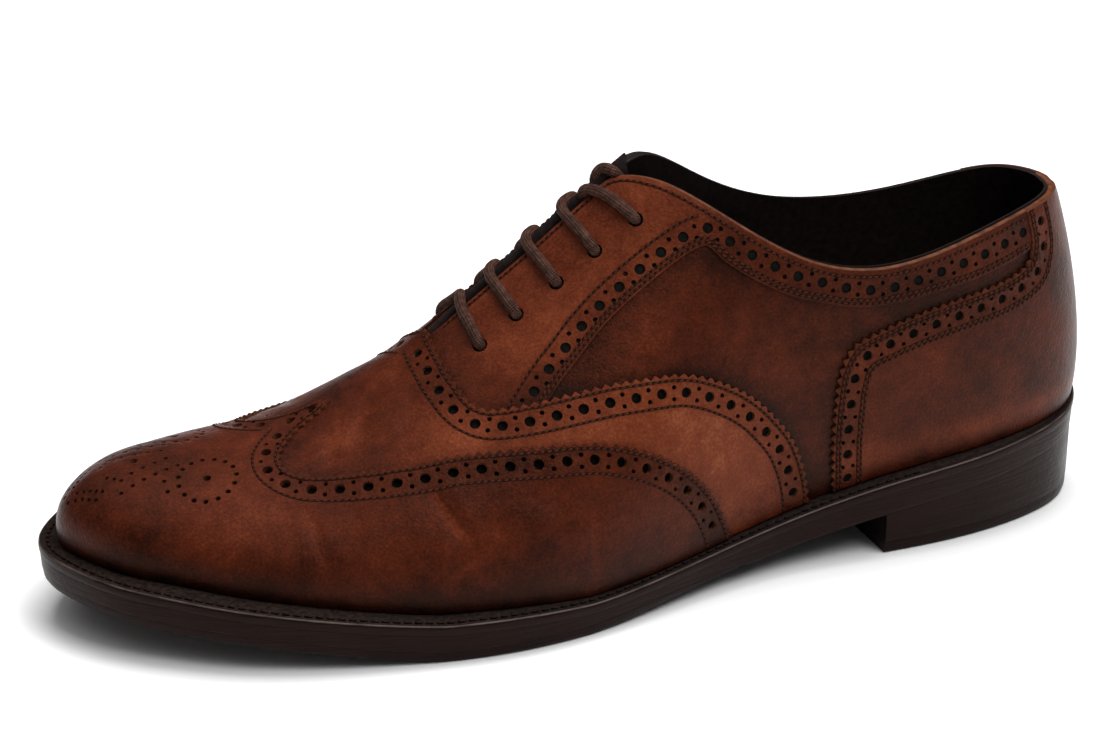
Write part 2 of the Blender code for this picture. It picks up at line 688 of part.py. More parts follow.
def bar_route(eyelet):
    """A lace bar's route from one eyelet over the ridge to the other."""
    height = OVERLAY_GAP + OVERLAY + LACE_RADIUS + 0.5 * MM
    rib, up = eyelet
    shares = np.array([0.0, 0.25, 0.5, 0.75])
    ribs = rib + BAR_FORWARD_RIBS * shares
    ups = up + (0.975 - up) * shares
    lateral = lifted(ribs, ups, height)
    medial = lifted(LOOP - ribs, ups, height)
    ridge_rib = rib + BAR_FORWARD_RIBS
    middle = on_last(ridge_rib, 1.0) + (0, 0, height * 1.12)
    return [*lateral, middle, *medial[::-1]]


def make_lace_bar(name, eyelet, look):
    curve = bpy.data.curves.new(name, "CURVE")
    curve.dimensions = "3D"
    curve.bevel_depth = LACE_RADIUS
    curve.bevel_resolution = 2
    curve.use_fill_caps = True
    route = bar_route(eyelet)
    run = curve.splines.new("POLY")
    run.points.add(len(route) - 1)
    for point, place in zip(run.points, route):
        point.co = (*place, 1.0)
    return add_object(name, curve, look)


def make_eyelet_cutter():
    """Ten plain cylinders across the wall, one at each eyelet."""
    shape = bmesh.new()
    for rib, up in EYELETS:
        for side_rib in (rib, LOOP - rib):
            middle = Vector(on_last(side_rib, up))
            turn = Vector(outward(side_rib, up)).to_track_quat("Z", "Y").to_matrix().to_4x4()
            turn.translation = middle
            bmesh.ops.create_cone(shape, cap_ends=True, segments=8, radius1=EYELET_RADIUS,
                                  radius2=EYELET_RADIUS, depth=9 * MM, matrix=turn)
    data = bpy.data.meshes.new("eyelet_cutter")
    shape.to_mesh(data)
    shape.free()
    cutter = add_object("eyelet_cutter", data, None)
    cutter.hide_render = True
    cutter.display_type = "WIRE"
    return cutter


def cut(piece, cutter):
    hole = piece.modifiers.new("eyelets", "BOOLEAN")
    hole.operation = "DIFFERENCE"
    hole.solver = "EXACT"
    hole.object = cutter


def centre_root(pieces):
    """Moves the root so that the shoe's box is centred over the origin."""
    bpy.context.view_layer.update()
    graph = bpy.context.evaluated_depsgraph_get()
    corners = []
    for piece in pieces:
        ready = piece.evaluated_get(graph)
        data = ready.to_mesh()
        flat = np.empty(len(data.vertices) * 3)
        data.vertices.foreach_get("co", flat)
        corners.append(flat.reshape(-1, 3))
        ready.to_mesh_clear()
    corners = np.concatenate(corners)
    middle = (corners.min(0) + corners.max(0)) / 2
    root.location = (-middle[0], -middle[1], 0.0)


for old in list(bpy.data.objects):
    bpy.data.objects.remove(old, do_unlink=True)
root = bpy.data.objects.new("shoe", None)
bpy.context.collection.objects.link(root)

BROWN = material("brown_leather", (0.17, 0.055, 0.025), 0.35)
DARK_BROWN = material("dark_sole_edge", (0.025, 0.015, 0.012), 0.4)
WELT_BROWN = material("welt_leather", (0.05, 0.03, 0.02), 0.6)
RUBBER = material("black_rubber", (0.015, 0.014, 0.013), 0.6)
BLACK = material("black_lining", (0.012, 0.011, 0.011), 0.6)
LACE_BROWN = material("brown_lace", (0.045, 0.022, 0.013), 0.8)

eyelet_cutter = make_eyelet_cutter()
upper = make_upper(BROWN)
facings = [make_facing("facing_lateral", False, BROWN), make_facing("facing_medial", True, BROWN)]
for pierced in (upper, *facings):
    cut(pierced, eyelet_cutter)
shoe = [upper, *facings, make_wing_cap(BROWN), make_vamp(BROWN), make_counter(BROWN), make_tongue(BLACK),
        make_insole(BLACK), make_welt(WELT_BROWN), make_outsole(DARK_BROWN), make_half_sole(RUBBER),
        make_heel(DARK_BROWN), make_top_lift(RUBBER)]
for number, place in enumerate(EYELETS, 1):
    shoe.append(make_lace_bar(f"lace_bar_{number}", place, LACE_BROWN))
centre_root(shoe)
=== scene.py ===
"""Looks of a left full brogue oxford: punched and gimped leather on a stitched welt, laces and studio.

The last's surface is the same as the solids': a loop of ribs, each from the feather line (up 0) to the
ridge (up 1). The front chart is (rib, up) on the lateral side, and its second value runs on over the
ridge to 2 on the medial side. The heel chart has medial ribs below 0.
"""
import bpy
import numpy as np
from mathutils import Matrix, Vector
from mathutils.geometry import delaunay_2d_cdt


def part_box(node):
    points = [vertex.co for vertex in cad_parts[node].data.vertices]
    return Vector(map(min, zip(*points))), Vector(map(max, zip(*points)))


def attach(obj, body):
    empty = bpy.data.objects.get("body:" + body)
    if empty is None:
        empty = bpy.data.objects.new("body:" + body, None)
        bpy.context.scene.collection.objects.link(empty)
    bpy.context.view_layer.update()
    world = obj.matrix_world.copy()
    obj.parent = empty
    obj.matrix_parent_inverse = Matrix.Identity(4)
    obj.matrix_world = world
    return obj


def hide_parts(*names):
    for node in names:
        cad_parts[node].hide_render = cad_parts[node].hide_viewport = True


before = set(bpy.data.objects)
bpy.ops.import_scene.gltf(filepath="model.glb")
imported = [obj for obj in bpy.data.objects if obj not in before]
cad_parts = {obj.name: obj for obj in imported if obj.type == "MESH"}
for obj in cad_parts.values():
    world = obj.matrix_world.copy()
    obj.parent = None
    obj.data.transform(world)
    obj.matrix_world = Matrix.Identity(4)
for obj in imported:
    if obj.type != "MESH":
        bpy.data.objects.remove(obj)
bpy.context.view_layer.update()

MM = 0.001
PERCENT = 0.01

# Driving sizes
SOLE_LENGTH = 306 * MM
BALL_WIDTH = 102 * MM
INSTEP_HEIGHT = 92.5 * MM
HEEL_HEIGHT = 21 * MM
TOE_SPRING = 11.8 * MM

# The last: sole edge and ridge station in percent, then the rib's shelf, flare, rise, crown and drop.
LAST_COLUMNS = ("x", "lateral", "medial", "ridge_x", "shelf", "flare", "rise", "crown", "drop")
LAST_ROWS = (
    (0.0, 0.0, 0.0, 14.4, 2.0, 6.5, 31.0, 22.0, 0.20),
    (2.1, 15.7, -16.2, 14.7, 2.5, 5.5, 31.0, 22.0, 0.20),
    (6.5, 26.5, -27.0, 16.3, 4.0, 4.5, 31.0, 22.0, 0.20),
    (15.0, 34.3, -33.3, 19.9, 6.0, 3.5, 33.0, 22.0, 0.20),
    (25.2, 36.3, -33.3, 25.5, 6.5, 3.0, 38.0, 21.0, 0.30),
    (35.0, 36.8, -29.4, 32.7, 5.5, 3.0, 42.0, 19.0, 0.60),
    (44.8, 43.1, -28.0, 41.2, 5.0, 3.5, 38.0, 18.0, 0.75),
    (54.6, 51.5, -32.8, 50.0, 5.8, 3.5, 31.0, 20.0, 0.75),
    (64.4, 54.4, -41.7, 59.2, 8.0, 3.0, 25.0, 22.0, 0.55),
    (73.2, 51.0, -48.5, 67.6, 9.2, 2.5, 20.0, 23.0, 0.00),
    (80.7, 45.6, -50.5, 74.5, 10.2, 2.0, 17.0, 24.5, 0.00),
    (87.1, 37.7, -48.5, 79.7, 10.4, 2.0, 15.0, 24.5, 0.00),
    (92.2, 27.5, -43.1, 83.7, 10.4, 2.0, 13.0, 24.0, 0.00),
    (95.9, 17.6, -33.8, 86.3, 9.1, 2.5, 12.3, 23.0, 0.00),
    (98.9, 3.4, -20.6, 87.7, 8.1, 2.8, 12.0, 22.5, 0.00),
    (100.0, -8.8, -8.8, 88.2, 7.7, 3.0, 12.0, 22.5, 0.00),
)
TOE_RIB = len(LAST_ROWS) - 1
LOOP = 2 * TOE_RIB
RIDGE_COLUMNS = ("x", "y", "z")
RIDGE_ROWS = (
    (13.1, 0.0, 153.5), (19.6, 0.0, 152.5), (26.1, 0.0, 150.5), (34.0, -0.5, 143.8),
    (41.8, -1.5, 134.0), (45.8, -2.0, 125.0), (50.7, -2.9, 112.5), (55.6, -3.4, 99.7),
    (60.5, -4.4, 86.6), (64.4, -4.9, 75.6), (67.0, -5.4, 68.2), (70.3, -6.4, 61.0),
    (73.9, -7.4, 54.4), (77.8, -7.8, 49.2), (81.7, -8.3, 46.6), (85.6, -8.8, 45.4), (88.6, -8.8, 45.0),
)
SOLE_COLUMNS = ("x", "heel", "toe", "thick")
SOLE_ROWS = (
    (0.0, 100.0, 0.0, 8.2), (13.7, 77.0, 0.0, 9.0), (25.2, 57.5, 0.0, 9.5), (36.6, 31.5, 0.0, 8.6),
    (48.0, 11.0, 0.0, 8.8), (58.0, -2.0, 0.0, 10.2), (69.3, 0.0, 0.0, 11.2), (82.4, 0.0, 50.0, 10.6),
    (92.2, 0.0, 79.0, 10.8), (100.0, 0.0, 100.0, 10.6),
)
COLLAR_COLUMNS = ("x", "lateral", "medial")
COLLAR_ROWS = (
    (-0.7, 95.0, 95.0), (3.3, 99.0, 99.6), (8.8, 98.3, 97.7), (15.4, 94.0, 93.2), (23.5, 89.3, 92.8),
    (31.7, 94.0, 99.5), (37.6, 105.4, 110.0), (41.2, 113.5, 117.8), (44.1, 118.4, 122.2),
    (47.4, 120.0, 123.8), (52.3, 121.0, 125.0),
)
CORNER_ROUNDING = 0.035
THROAT_RIB = 8.6
HALF_LACING_GAP = 1.8 * MM
GAP = 0.3 * MM

# Pattern lines on the lateral side, as (rib, up); the medial side mirrors them.
WING_LINE = (
    (5.56, 0.004), (5.66, 0.072), (5.76, 0.12), (6.02, 0.20), (6.32, 0.265), (6.72, 0.335), (7.08, 0.385),
    (7.44, 0.42), (7.80, 0.455), (8.10, 0.482), (8.42, 0.506), (8.76, 0.523), (9.08, 0.538), (9.44, 0.565),
    (9.84, 0.60), (10.08, 0.628), (10.32, 0.675), (10.48, 0.73), (10.54, 0.80), (10.46, 0.86), (10.30, 0.912),
    (10.14, 0.938), (9.98, 0.952), (9.85, 0.97), (9.79, 1.0),
)
PEAK_HOLES = ((10.40, 1.0), (10.04, 1.0))
PEAK_PAIR = ((10.22, 0.974), (10.22, 1.026))
VAMP_LINE = (
    (4.72, 0.004), (4.76, 0.068), (4.82, 0.115), (4.90, 0.158), (5.02, 0.20), (5.16, 0.24), (5.32, 0.278),
    (5.50, 0.312), (5.70, 0.345), (6.00, 0.388), (6.44, 0.436), (6.86, 0.48), (7.34, 0.523), (7.62, 0.548),
    (7.86, 0.572), (8.02, 0.592), (8.14, 0.62), (8.24, 0.66), (8.32, 0.71), (8.40, 0.765), (8.46, 0.82),
    (8.55, 0.912), (8.60, 1.0),
)
COUNTER_LINE = (
    (4.45, 0.004), (4.47, 0.125), (4.45, 0.19), (4.40, 0.255), (4.30, 0.292), (4.10, 0.31), (3.80, 0.323),
    (3.40, 0.338), (3.00, 0.348), (2.60, 0.357), (2.40, 0.364), (2.22, 0.374), (2.12, 0.388), (2.06, 0.412),
    (2.05, 0.45),
)
FACING_LINE = (
    (1.90, 0.405), (2.20, 0.398), (2.60, 0.387), (2.96, 0.377), (3.28, 0.370), (3.56, 0.364), (3.82, 0.362),
    (4.08, 0.366), (4.34, 0.380), (4.60, 0.404), (4.84, 0.430), (5.04, 0.460), (5.26, 0.498),
    (5.48, 0.542), (5.62, 0.576), (5.71, 0.604), (5.75, 0.613), (5.81, 0.618), (5.95, 0.621), (6.25, 0.622),
    (6.55, 0.620), (6.85, 0.609), (7.00, 0.595), (7.14, 0.578), (7.28, 0.560), (7.42, 0.533),
)
FACING_START = 1.9
FACING_SEAM_RIBS = (7.34, 8.58)
BACKSTAY_RIB = 2.05
PLAIN_TAB_UP = 0.385
FACING_REST = ((7.54, 0.503), (7.66, 0.471))
UNDER_WING = 2.0 * MM
UNDER_VAMP = 1.2 * MM

# Broguing
BIG_HOLE = 1.5 * MM
SMALL_HOLE = 0.7 * MM
PIN_HOLE = 0.75 * MM
PUNCH_PITCH = 7.5 * MM
PAIR_SPREAD = 1.6 * MM
TOOTH_PITCH = 2.8 * MM
TOOTH_DEPTH = 1.2 * MM
EYELET_RADIUS = 2.1 * MM
HOLE_MARGIN = 0.7 * MM
BIG_SIDES = 12
SMALL_SIDES = 7
EYELETS = ((8.06, 0.79), (7.69, 0.80), (7.29, 0.797), (6.90, 0.793), (6.475, 0.783))

# Punched strips: the middle's inset, then on the front panels its least and most distance from the ridge,
# and on the counter what the inset gains on the backstay's tab.
WING_PUNCHING = (4.1 * MM, 0.07, 0.948)
VAMP_PUNCHING = (4.4 * MM, 0.075, 0.958)
COUNTER_PUNCHING = (4.4 * MM, 0.7 * MM)
COUNTER_FIRST = 8
FACING_PUNCHING = 5.7 * MM
FACING_RISE = 1.2 * MM
FACING_RIBS = (2.15, 7.57)
# How far from a punched row the upper's top takes the painted shade seen down the holes
HOLE_SHADE_REACH = 3.0 * MM

# Stitch rows: insets in millimetres, on the counter with the gain on the tab and on the facings with
# the first rib.
STITCH_PITCH = 1.85 * MM
STITCH_TWIST = 0.22
STITCH_SIZE = (STITCH_PITCH * 0.78, 0.6 * MM, 0.5 * MM)
STITCH_RISE = 0.04 * MM
GROOVE_HALF = 0.36 * MM
GROOVE_LAYER = (-0.1 * MM, 0.025 * MM)
WING_SEAMS = (1.1, 7.8)
VAMP_SEAMS = (1.1, 8.0)
COUNTER_SEAMS = ((1.0, 0.0), (2.0, 0.1), (7.4, 1.5), (8.4, 1.7))
FACING_SEAMS = ((0.9, 2.1), (2.0, 2.1), (8.4, 5.77))
TOP_SEAM_FIRST = 2.1
TOP_SEAM = 1.9 * MM
TOP_SEAM_RISE = 0.6 * MM
WELT_STITCH_PITCH = 2.9 * MM
WELT_STITCH_SIZE = (2.5 * MM, 0.9 * MM, 0.7 * MM)
WELT_STITCH_INSET = 2.5 * MM
WELT_STITCH_RIB = 3.6
WELT_STITCH_RISE = 0.02 * MM

# The toe's pinhole pattern in plan, in millimetres from the heel's back; it mirrors about the middle.
MEDALLION_MIDDLE_Y = -9.0
MEDALLION_RING = {"x": 263.0, "y": 6.0, "radius": 7.8, "count": 15}
MEDALLION_CENTRE_X = 279.0
MEDALLION_START = 245 * MM
MEDALLION_SHARE = 0.75
RUN_SHARE = 0.9
MEDALLION_COLUMNS = ("x0", "y0", "x1", "y1", "count")
MEDALLION_RUNS = (
    (296.5, -7.4, 291.0, -1.2, 5), (294.3, -7.4, 289.0, -2.1, 5), (287.0, -5.8, 284.0, -2.5, 3),
    (285.0, 1.7, 269.0, -2.0, 6), (281.0, -3.8, 271.0, -6.4, 4), (274.0, 3.0, 274.0, 6.7, 2),
)

# Creases: three chart places, then depth and half width in millimetres and how pale the worn line is.
CREASE_COLUMNS = ("rib0", "up0", "rib1", "up1", "rib2", "up2", "depth", "width", "worn")
CREASE_ROWS = (
    (8.66, 0.430, 8.48, 0.335, 8.25, 0.220, 0.55, 2.0, 1.0),
    (8.78, 0.420, 8.66, 0.330, 8.52, 0.250, 0.25, 1.6, 0.4),
    (10.15, 0.490, 9.96, 0.360, 9.77, 0.120, 0.28, 1.6, 0.8),
    (9.50, 0.430, 9.46, 0.360, 9.49, 0.300, 0.25, 1.5, 0.6),
    (7.07, 0.250, 7.03, 0.170, 7.03, 0.050, 0.20, 1.4, 0.5),
    (7.65, 0.360, 7.35, 0.292, 7.05, 0.232, 0.40, 2.2, 0.3),
    (7.75, 0.330, 7.47, 0.272, 7.20, 0.225, 0.32, 1.9, 0.3),
    (8.56, 0.095, 8.35, 0.150, 8.12, 0.178, 0.10, 1.2, 0.7),
    (9.87, 0.820, 9.79, 0.720, 9.76, 0.640, 0.35, 2.4, 0.3),
    (8.74, 0.760, 8.84, 0.667, 9.01, 0.610, 0.30, 2.4, 0.2),
    (9.30, 0.930, 9.34, 0.800, 9.40, 0.660, 0.30, 2.6, 0.1),
    (8.70, 1.580, 8.50, 1.680, 8.30, 1.790, 0.45, 2.0, 0.6),
    (9.60, 1.560, 9.50, 1.660, 9.45, 1.780, 0.30, 1.8, 0.4),
    (7.60, 1.640, 7.40, 1.710, 7.15, 1.770, 0.35, 2.0, 0.3),
    (9.80, 1.180, 9.75, 1.290, 9.70, 1.380, 0.30, 2.4, 0.2),
    (6.88, 0.790, 6.92, 0.753, 6.98, 0.718, 0.05, 1.2, 0.4),
    (6.62, 0.885, 6.42, 0.820, 6.40, 0.778, 0.06, 1.2, 0.3),
    (8.18, 0.790, 7.96, 0.768, 7.66, 0.728, 0.06, 1.2, 0.4),
)

# Layers above the last's surface
QUARTER_THICK = 1.0 * MM
LINING_THICK = 0.9 * MM
LINING_RISE = 0.8 * MM
LINING_TOP = -QUARTER_THICK - 0.1 * MM
TONGUE_DEPTH = 0.7 * MM
TONGUE_THICK = 1.5 * MM
TONGUE_RIBS = (6.55, 9.0)
TONGUE_UPS = (0.74, 0.93)
TONGUE_FOLD = (
    (0, 1.4, -2.9), (0, 1.3, -1.2), (0, 0.8, -0.4), (0, 0, -0.15),
    (0, -0.8, -0.4), (0, -1.3, -1.2), (0, -1.4, -2.9),
)
BEAD_RADIUS = 0.85 * MM
BEAD_DEPTH = 0.4 * MM
BEAD_DROP = 0.45 * MM
TOP_INSET = 0.25 * MM
LAYER_FOOT = 0.1 * MM
SOFT_EDGE = 0.12 * MM
FACING_TOP = 0.7 * MM
VAMP_TOP = 1.35 * MM
COUNTER_TOP = 1.25 * MM
WING_TOP = 2.15 * MM

# Sole
WELT_THICK = 3.0 * MM
HALF_SOLE_THICK = 3.0 * MM
HALF_SOLE_EDGE = 0.9 * MM
HALF_SOLE_END_X = 122 * MM
HALF_SOLE_SKIVE = 30 * MM
HALF_SOLE_STEPS = (0.4 * MM, 6 * MM)
SOLE_JOINT = GAP * 0.3
HALF_SOLE_JOINT = GAP * 0.2
HEEL_BREAST_X = 76 * MM
TOP_LIFT_THICK = 3.5 * MM
INSOLE_RISE = 2.5 * MM
WALL = 2.0 * MM
SOCK_INSET = 2.2 * MM
WELT_INSET = 1.6 * MM
WELT_LEDGE = 0.2 * MM

# Edge profiles as (inset in millimetres, share of the height); the welt's as (inset, depth) in millimetres
OUTSOLE_EDGE = ((0.75, 0.0), (0.6, 0.05), (0.55, 0.2), (0.45, 0.5), (0.35, 0.85), (0.35, 1.0))
HALF_SOLE_SIDE = ((2.4, 0.0), (1.5, 0.1), (1.0, 0.35), (0.8, 0.75), (0.75, 1.0))
HEEL_EDGE = ((1.1, 0.0), (0.95, 0.04), (0.85, 0.3), (0.8, 0.6), (0.75, 0.92), (0.75, 1.0))
LIFT_EDGE = ((1.9, 0.0), (1.4, 0.1), (1.1, 0.35), (1.05, 0.85), (1.1, 1.0))
WELT_SHELF = ((4.2, 0.0), (3.3, 0.1))
WELT_LIP_ROWS = (
    (2.5, 0.45), (1.7, 0.15), (1.0, -0.05), (0.45, 0.05), (0.1, 0.4), (0.0, 1.2), (0.1, 2.2), (0.3, 3.0),
)
# The welt side that takes the painted highlight look
WELT_HIGHLIGHT_SIDE = 6

# Lace: a bar's rows are (share of the way, height), the short loop's are (rib past the top eyelet, up, side,
# height).
LACE_RADIUS = 1.6 * MM
LACE_SIDES = 14
BRAID_PITCH = 0.14 * MM
BRAID_THREADS = 6
LYING = FACING_TOP + LACE_RADIUS * 0.9
BAR_ROWS = ((-0.01, -2.6 * MM), (0.01, -0.4 * MM), (0.12, LYING * 0.85), (0.35, LYING), (0.7, LYING * 0.95))
BAR_FORWARD_RIBS = (0.19, 0.25, 0.28, 0.31)
NEAR_BAR = {"lateness": 1, "sink": 0.0}
FAR_BAR = {"lateness": 6, "sink": 0.8}
BAR_MIDDLE = (0, 0.5 * MM, LACE_RADIUS * 0.6)
TOP_BAR_FORWARD = 0.46
TOP_BAR_END = (0.47, 0.975, 1, 1.6 * MM)
TUCKED_RIB = 0.52
TUCKED = (0, 0, -2.5 * MM)
LOOP_RIB = 0.31
LOOP_MIDDLE = (0, 0, LACE_RADIUS * 0.5)
LOOP_START = ((0.17, 0.95, 1, -2.2 * MM), (0.22, 0.975, 1, 0.7 * MM))
LOOP_END = ((0.35, 0.985, -1, 0.2 * MM), (0.35, 0.955, -1, -2.6 * MM))

# Studio: softboxes as name, place, size, power and whether they show in the gloss
SOFTBOXES = (
    ("top_softbox", (-0.2, -0.4, 1.9), (1.3, 1.1), 33, False),
    ("front_softbox", (-0.65, 0.8, 1.5), (1.1, 0.9), 14, True),
)
SOFTBOX_TARGET = (0, 0, 0.04)
FLOOR_HALF = 4.0
FLOOR_TONE = 0.95
SKY = ((0.0, 0.10), (0.6, 0.12), (1.0, 1.1))

# Camera, in millimetres in the last's own axes
CAMERA_PLACE = (451.9, 751.9, 398.2)
CAMERA_TARGET = (171.5, 21.4, 66.0)
CAMERA_LENS = 103.9
CAMERA_SENSOR = 36.0

# Meshing
CHART_RIB = 27 * MM
CHART_UP = 70 * MM
NEAR_RIDGE = 0.985
MESH_STEP = 1.7 * MM
SHELL_STEP = 2.2 * MM
LINING_STEP = 3.0 * MM
LINE_STEP = 1.5 * MM
LINE_COUNT = 400
TOE_CHART_LOW = (9, 0.2)
RIM_SHARE = 0.5
NET_SHARE = 0.8
STITCH_SIDES = 5
CREASE_OFFSETS = (-1.8, -0.8, 0, 0.8, 1.8)


# Tables and splines

def columns(names, rows):
    values = np.array(rows, float)
    return {name: values[:, k] for k, name in enumerate(names)}


def natural_spline(xs, ys):
    """A natural cubic spline, straight beyond both ends; slope=True gives its slope."""
    steps = np.diff(xs)
    count = len(xs)
    matrix = np.eye(count)
    bends = np.zeros(count)
    for k in range(1, count - 1):
        matrix[k, k - 1:k + 2] = steps[k - 1], 2 * (steps[k - 1] + steps[k]), steps[k]
        bends[k] = 6 * ((ys[k + 1] - ys[k]) / steps[k] - (ys[k] - ys[k - 1]) / steps[k - 1])
    bends = np.linalg.solve(matrix, bends)

    def curve(x, slope=False):
        x = np.asarray(x, float)
        inside = np.clip(x, xs[0], xs[-1])
        k = np.clip(np.searchsorted(xs, inside) - 1, 0, count - 2)
        before, after, step = inside - xs[k], xs[k + 1] - inside, steps[k]
        rate = (bends[k + 1] * before ** 2 - bends[k] * after ** 2) / (2 * step)
        rate = rate + (ys[k + 1] - ys[k]) / step - step * (bends[k + 1] - bends[k]) / 6
        if slope:
            return rate
        value = (bends[k] * after ** 3 + bends[k + 1] * before ** 3) / (6 * step)
        value = value + (ys[k] / step - bends[k] * step / 6) * after
        value = value + (ys[k + 1] / step - bends[k + 1] * step / 6) * before
        return value + rate * (x - inside)
    return curve


def loop_spline(values):
    """A closed cubic spline through values at whole ribs; slope=True gives its slope."""
    count = len(values)
    one = np.eye(count)
    matrix = 4 * one + np.roll(one, 1, 1) + np.roll(one, -1, 1)
    bends = np.linalg.solve(matrix, 6 * (np.roll(values, -1) - 2 * values + np.roll(values, 1)))

    def curve(rib, slope=False):
        rib = np.asarray(rib, float) % count
        k = np.floor(rib).astype(int) % count
        j = (k + 1) % count
        before = rib - np.floor(rib)
        after = 1 - before
        if slope:
            bent = (bends[j] * before ** 2 - bends[k] * after ** 2) / 2
            return bent + values[j] - values[k] - (bends[j] - bends[k]) / 6
        bent = (bends[k] * after ** 3 + bends[j] * before ** 3) / 6
        return bent + (values[k] - bends[k] / 6) * after + (values[j] - bends[j] / 6) * before
    return curve


def there_and_back(lateral, medial):
    return np.concatenate([lateral, medial[-2:0:-1]])


LAST = columns(LAST_COLUMNS, LAST_ROWS)
RIDGE = columns(RIDGE_COLUMNS, RIDGE_ROWS)
SOLE = columns(SOLE_COLUMNS, SOLE_ROWS)
COLLAR = columns(COLLAR_COLUMNS, COLLAR_ROWS)

edge_x = loop_spline(there_and_back(LAST["x"], LAST["x"]) * PERCENT * SOLE_LENGTH)
edge_y = loop_spline(there_and_back(LAST["lateral"], LAST["medial"]) * PERCENT * BALL_WIDTH)
ridge_station = loop_spline(there_and_back(LAST["ridge_x"], LAST["ridge_x"]) * PERCENT * SOLE_LENGTH)
shelf = loop_spline(there_and_back(LAST["shelf"], LAST["shelf"]) * MM)
flare = loop_spline(there_and_back(LAST["flare"], LAST["flare"]) * MM)
rise = loop_spline(there_and_back(LAST["rise"], LAST["rise"]) * MM)
crown = loop_spline(there_and_back(LAST["crown"], LAST["crown"]) * MM)
drop = loop_spline(there_and_back(LAST["drop"], LAST["drop"]))
RIDGE_X = RIDGE["x"] * PERCENT * SOLE_LENGTH
ridge_y = natural_spline(RIDGE_X, RIDGE["y"] * PERCENT * BALL_WIDTH)
ridge_z = natural_spline(RIDGE_X, RIDGE["z"] * PERCENT * INSTEP_HEIGHT)
SOLE_X = SOLE["x"] * PERCENT * SOLE_LENGTH
sole_profile = natural_spline(
    SOLE_X, SOLE["heel"] * PERCENT * HEEL_HEIGHT + SOLE["toe"] * PERCENT * TOE_SPRING)
sole_thickness = natural_spline(SOLE_X, SOLE["thick"] * MM)
COLLAR_X = COLLAR["x"] * PERCENT * SOLE_LENGTH
collar_lateral = natural_spline(COLLAR_X, COLLAR["lateral"] * PERCENT * INSTEP_HEIGHT)
collar_medial = natural_spline(COLLAR_X, COLLAR["medial"] * PERCENT * INSTEP_HEIGHT)


def unit(vectors):
    return vectors / np.maximum(np.linalg.norm(vectors, axis=-1, keepdims=True), 1e-12)


def ramp(value, low, high):
    return np.clip((value - low) / (high - low), 0, 1)


def reach_along(points):
    """Distance of each point of a row from the first, along the row."""
    return np.concatenate([[0.0], np.cumsum(np.linalg.norm(np.diff(points, axis=0), axis=1))])


# The last's surface

def underside(x):
    return np.maximum(sole_profile(x), 0.0)


def seat(x):
    return underside(x) + sole_thickness(x)


def edge(rib, inset):
    """Plan position on the sole edge, moved inwards by the inset."""
    along_x, along_y = edge_x(rib, True), edge_y(rib, True)
    length = np.hypot(along_x, along_y)
    return edge_x(rib) + along_y / length * inset, edge_y(rib) - along_x / length * inset


def on_last(rib, up):
    """A point of the last's surface: each rib is a cubic curve from the feather line to the ridge."""
    rib, up = np.broadcast_arrays(np.asarray(rib, float), np.asarray(up, float))
    foot_x, foot_y = edge(rib, shelf(rib))
    foot = np.stack([foot_x, foot_y, seat(foot_x) + GAP], -1)
    top_x = ridge_station(rib)
    top = np.stack([top_x, ridge_y(top_x), ridge_z(top_x)], -1)
    out = unit((foot - top)[..., :2])
    low_reach = np.concatenate([out * flare(rib)[..., None], rise(rib)[..., None]], -1)
    roll = ridge_z(top_x, True) * out[..., 0] - np.maximum(drop(rib), 0)
    high_reach = crown(rib)[..., None] * np.concatenate([out, roll[..., None]], -1)
    t = up[..., None]
    s = 1 - t
    low_half = s ** 3 * foot + 3 * s ** 2 * t * (foot + low_reach)
    return low_half + 3 * s * t ** 2 * (top + high_reach) + t ** 3 * top


def side_normal(rib, up):
    step = 0.004
    up = np.clip(up, step, NEAR_RIDGE)
    climb = on_last(rib, up + step) - on_last(rib, up - step)
    along = on_last(rib + step, up) - on_last(rib - step, up)
    return unit(np.cross(climb, along))


def outward(rib, up):
    """Outward normal, the same from both sides at the ridge in front of the throat."""
    rib, up = np.broadcast_arrays(np.asarray(rib, float), np.asarray(up, float))
    front = np.minimum(rib % LOOP, LOOP - rib % LOOP)
    share = 0.5 * ramp(up, 0.85, 1.0) * ramp(front, THROAT_RIB - 0.2, THROAT_RIB + 0.2)
    share = share[..., None]
    return unit(side_normal(rib, up) * (1 - share) + side_normal(LOOP - rib, up) * share)


def climb_to(rib, low, high, reached):
    """How far up each rib a growing measure reaches zero, by halving."""
    low = np.full(rib.shape, low)
    high = np.full(rib.shape, high)
    for _ in range(40):
        middle = (low + high) / 2
        past = reached(on_last(rib, middle)) >= 0
        high = np.where(past, middle, high)
        low = np.where(past, low, middle)
    return (low + high) / 2


def top_share(rib):
    """How far up each rib the upper goes: to the collar, the lacing gap or, in front, the ridge."""
    rib = np.atleast_1d(np.asarray(rib, float)) % LOOP
    lateral = rib <= TOE_RIB
    side = np.where(lateral, 1.0, -1.0)
    front = np.minimum(rib, LOOP - rib)

    def above_collar(point):
        x = point[..., 0]
        return point[..., 2] - np.where(lateral, collar_lateral(x), collar_medial(x))

    def inside_gap(point):
        return HALF_LACING_GAP - side * (point[..., 1] - ridge_y(point[..., 0]))

    at_collar = climb_to(rib, 0.1, 1.0, above_collar)
    at_gap = climb_to(rib, 0.6, 1.0, inside_gap)
    both = np.exp(-at_collar / CORNER_ROUNDING) + np.exp(-at_gap / CORNER_ROUNDING)
    return np.where(front >= THROAT_RIB - 1e-6, 1.0, -CORNER_ROUNDING * np.log(both))


# Charts

def front_place(chart):
    """Rib and up of front chart points."""
    rib, up = chart[..., 0], chart[..., 1]
    medial = up > 1
    return np.where(medial, LOOP - rib, rib), np.where(medial, 2 - up, up)


def heel_place(chart):
    """Rib and up of heel chart points."""
    return chart[..., 0] % LOOP, chart[..., 1]


def mirror_front(chart):
    return np.asarray(chart, float) * (1, -1) + (0, 2)


def mirror_heel(chart):
    return np.asarray(chart, float) * (-1, 1)


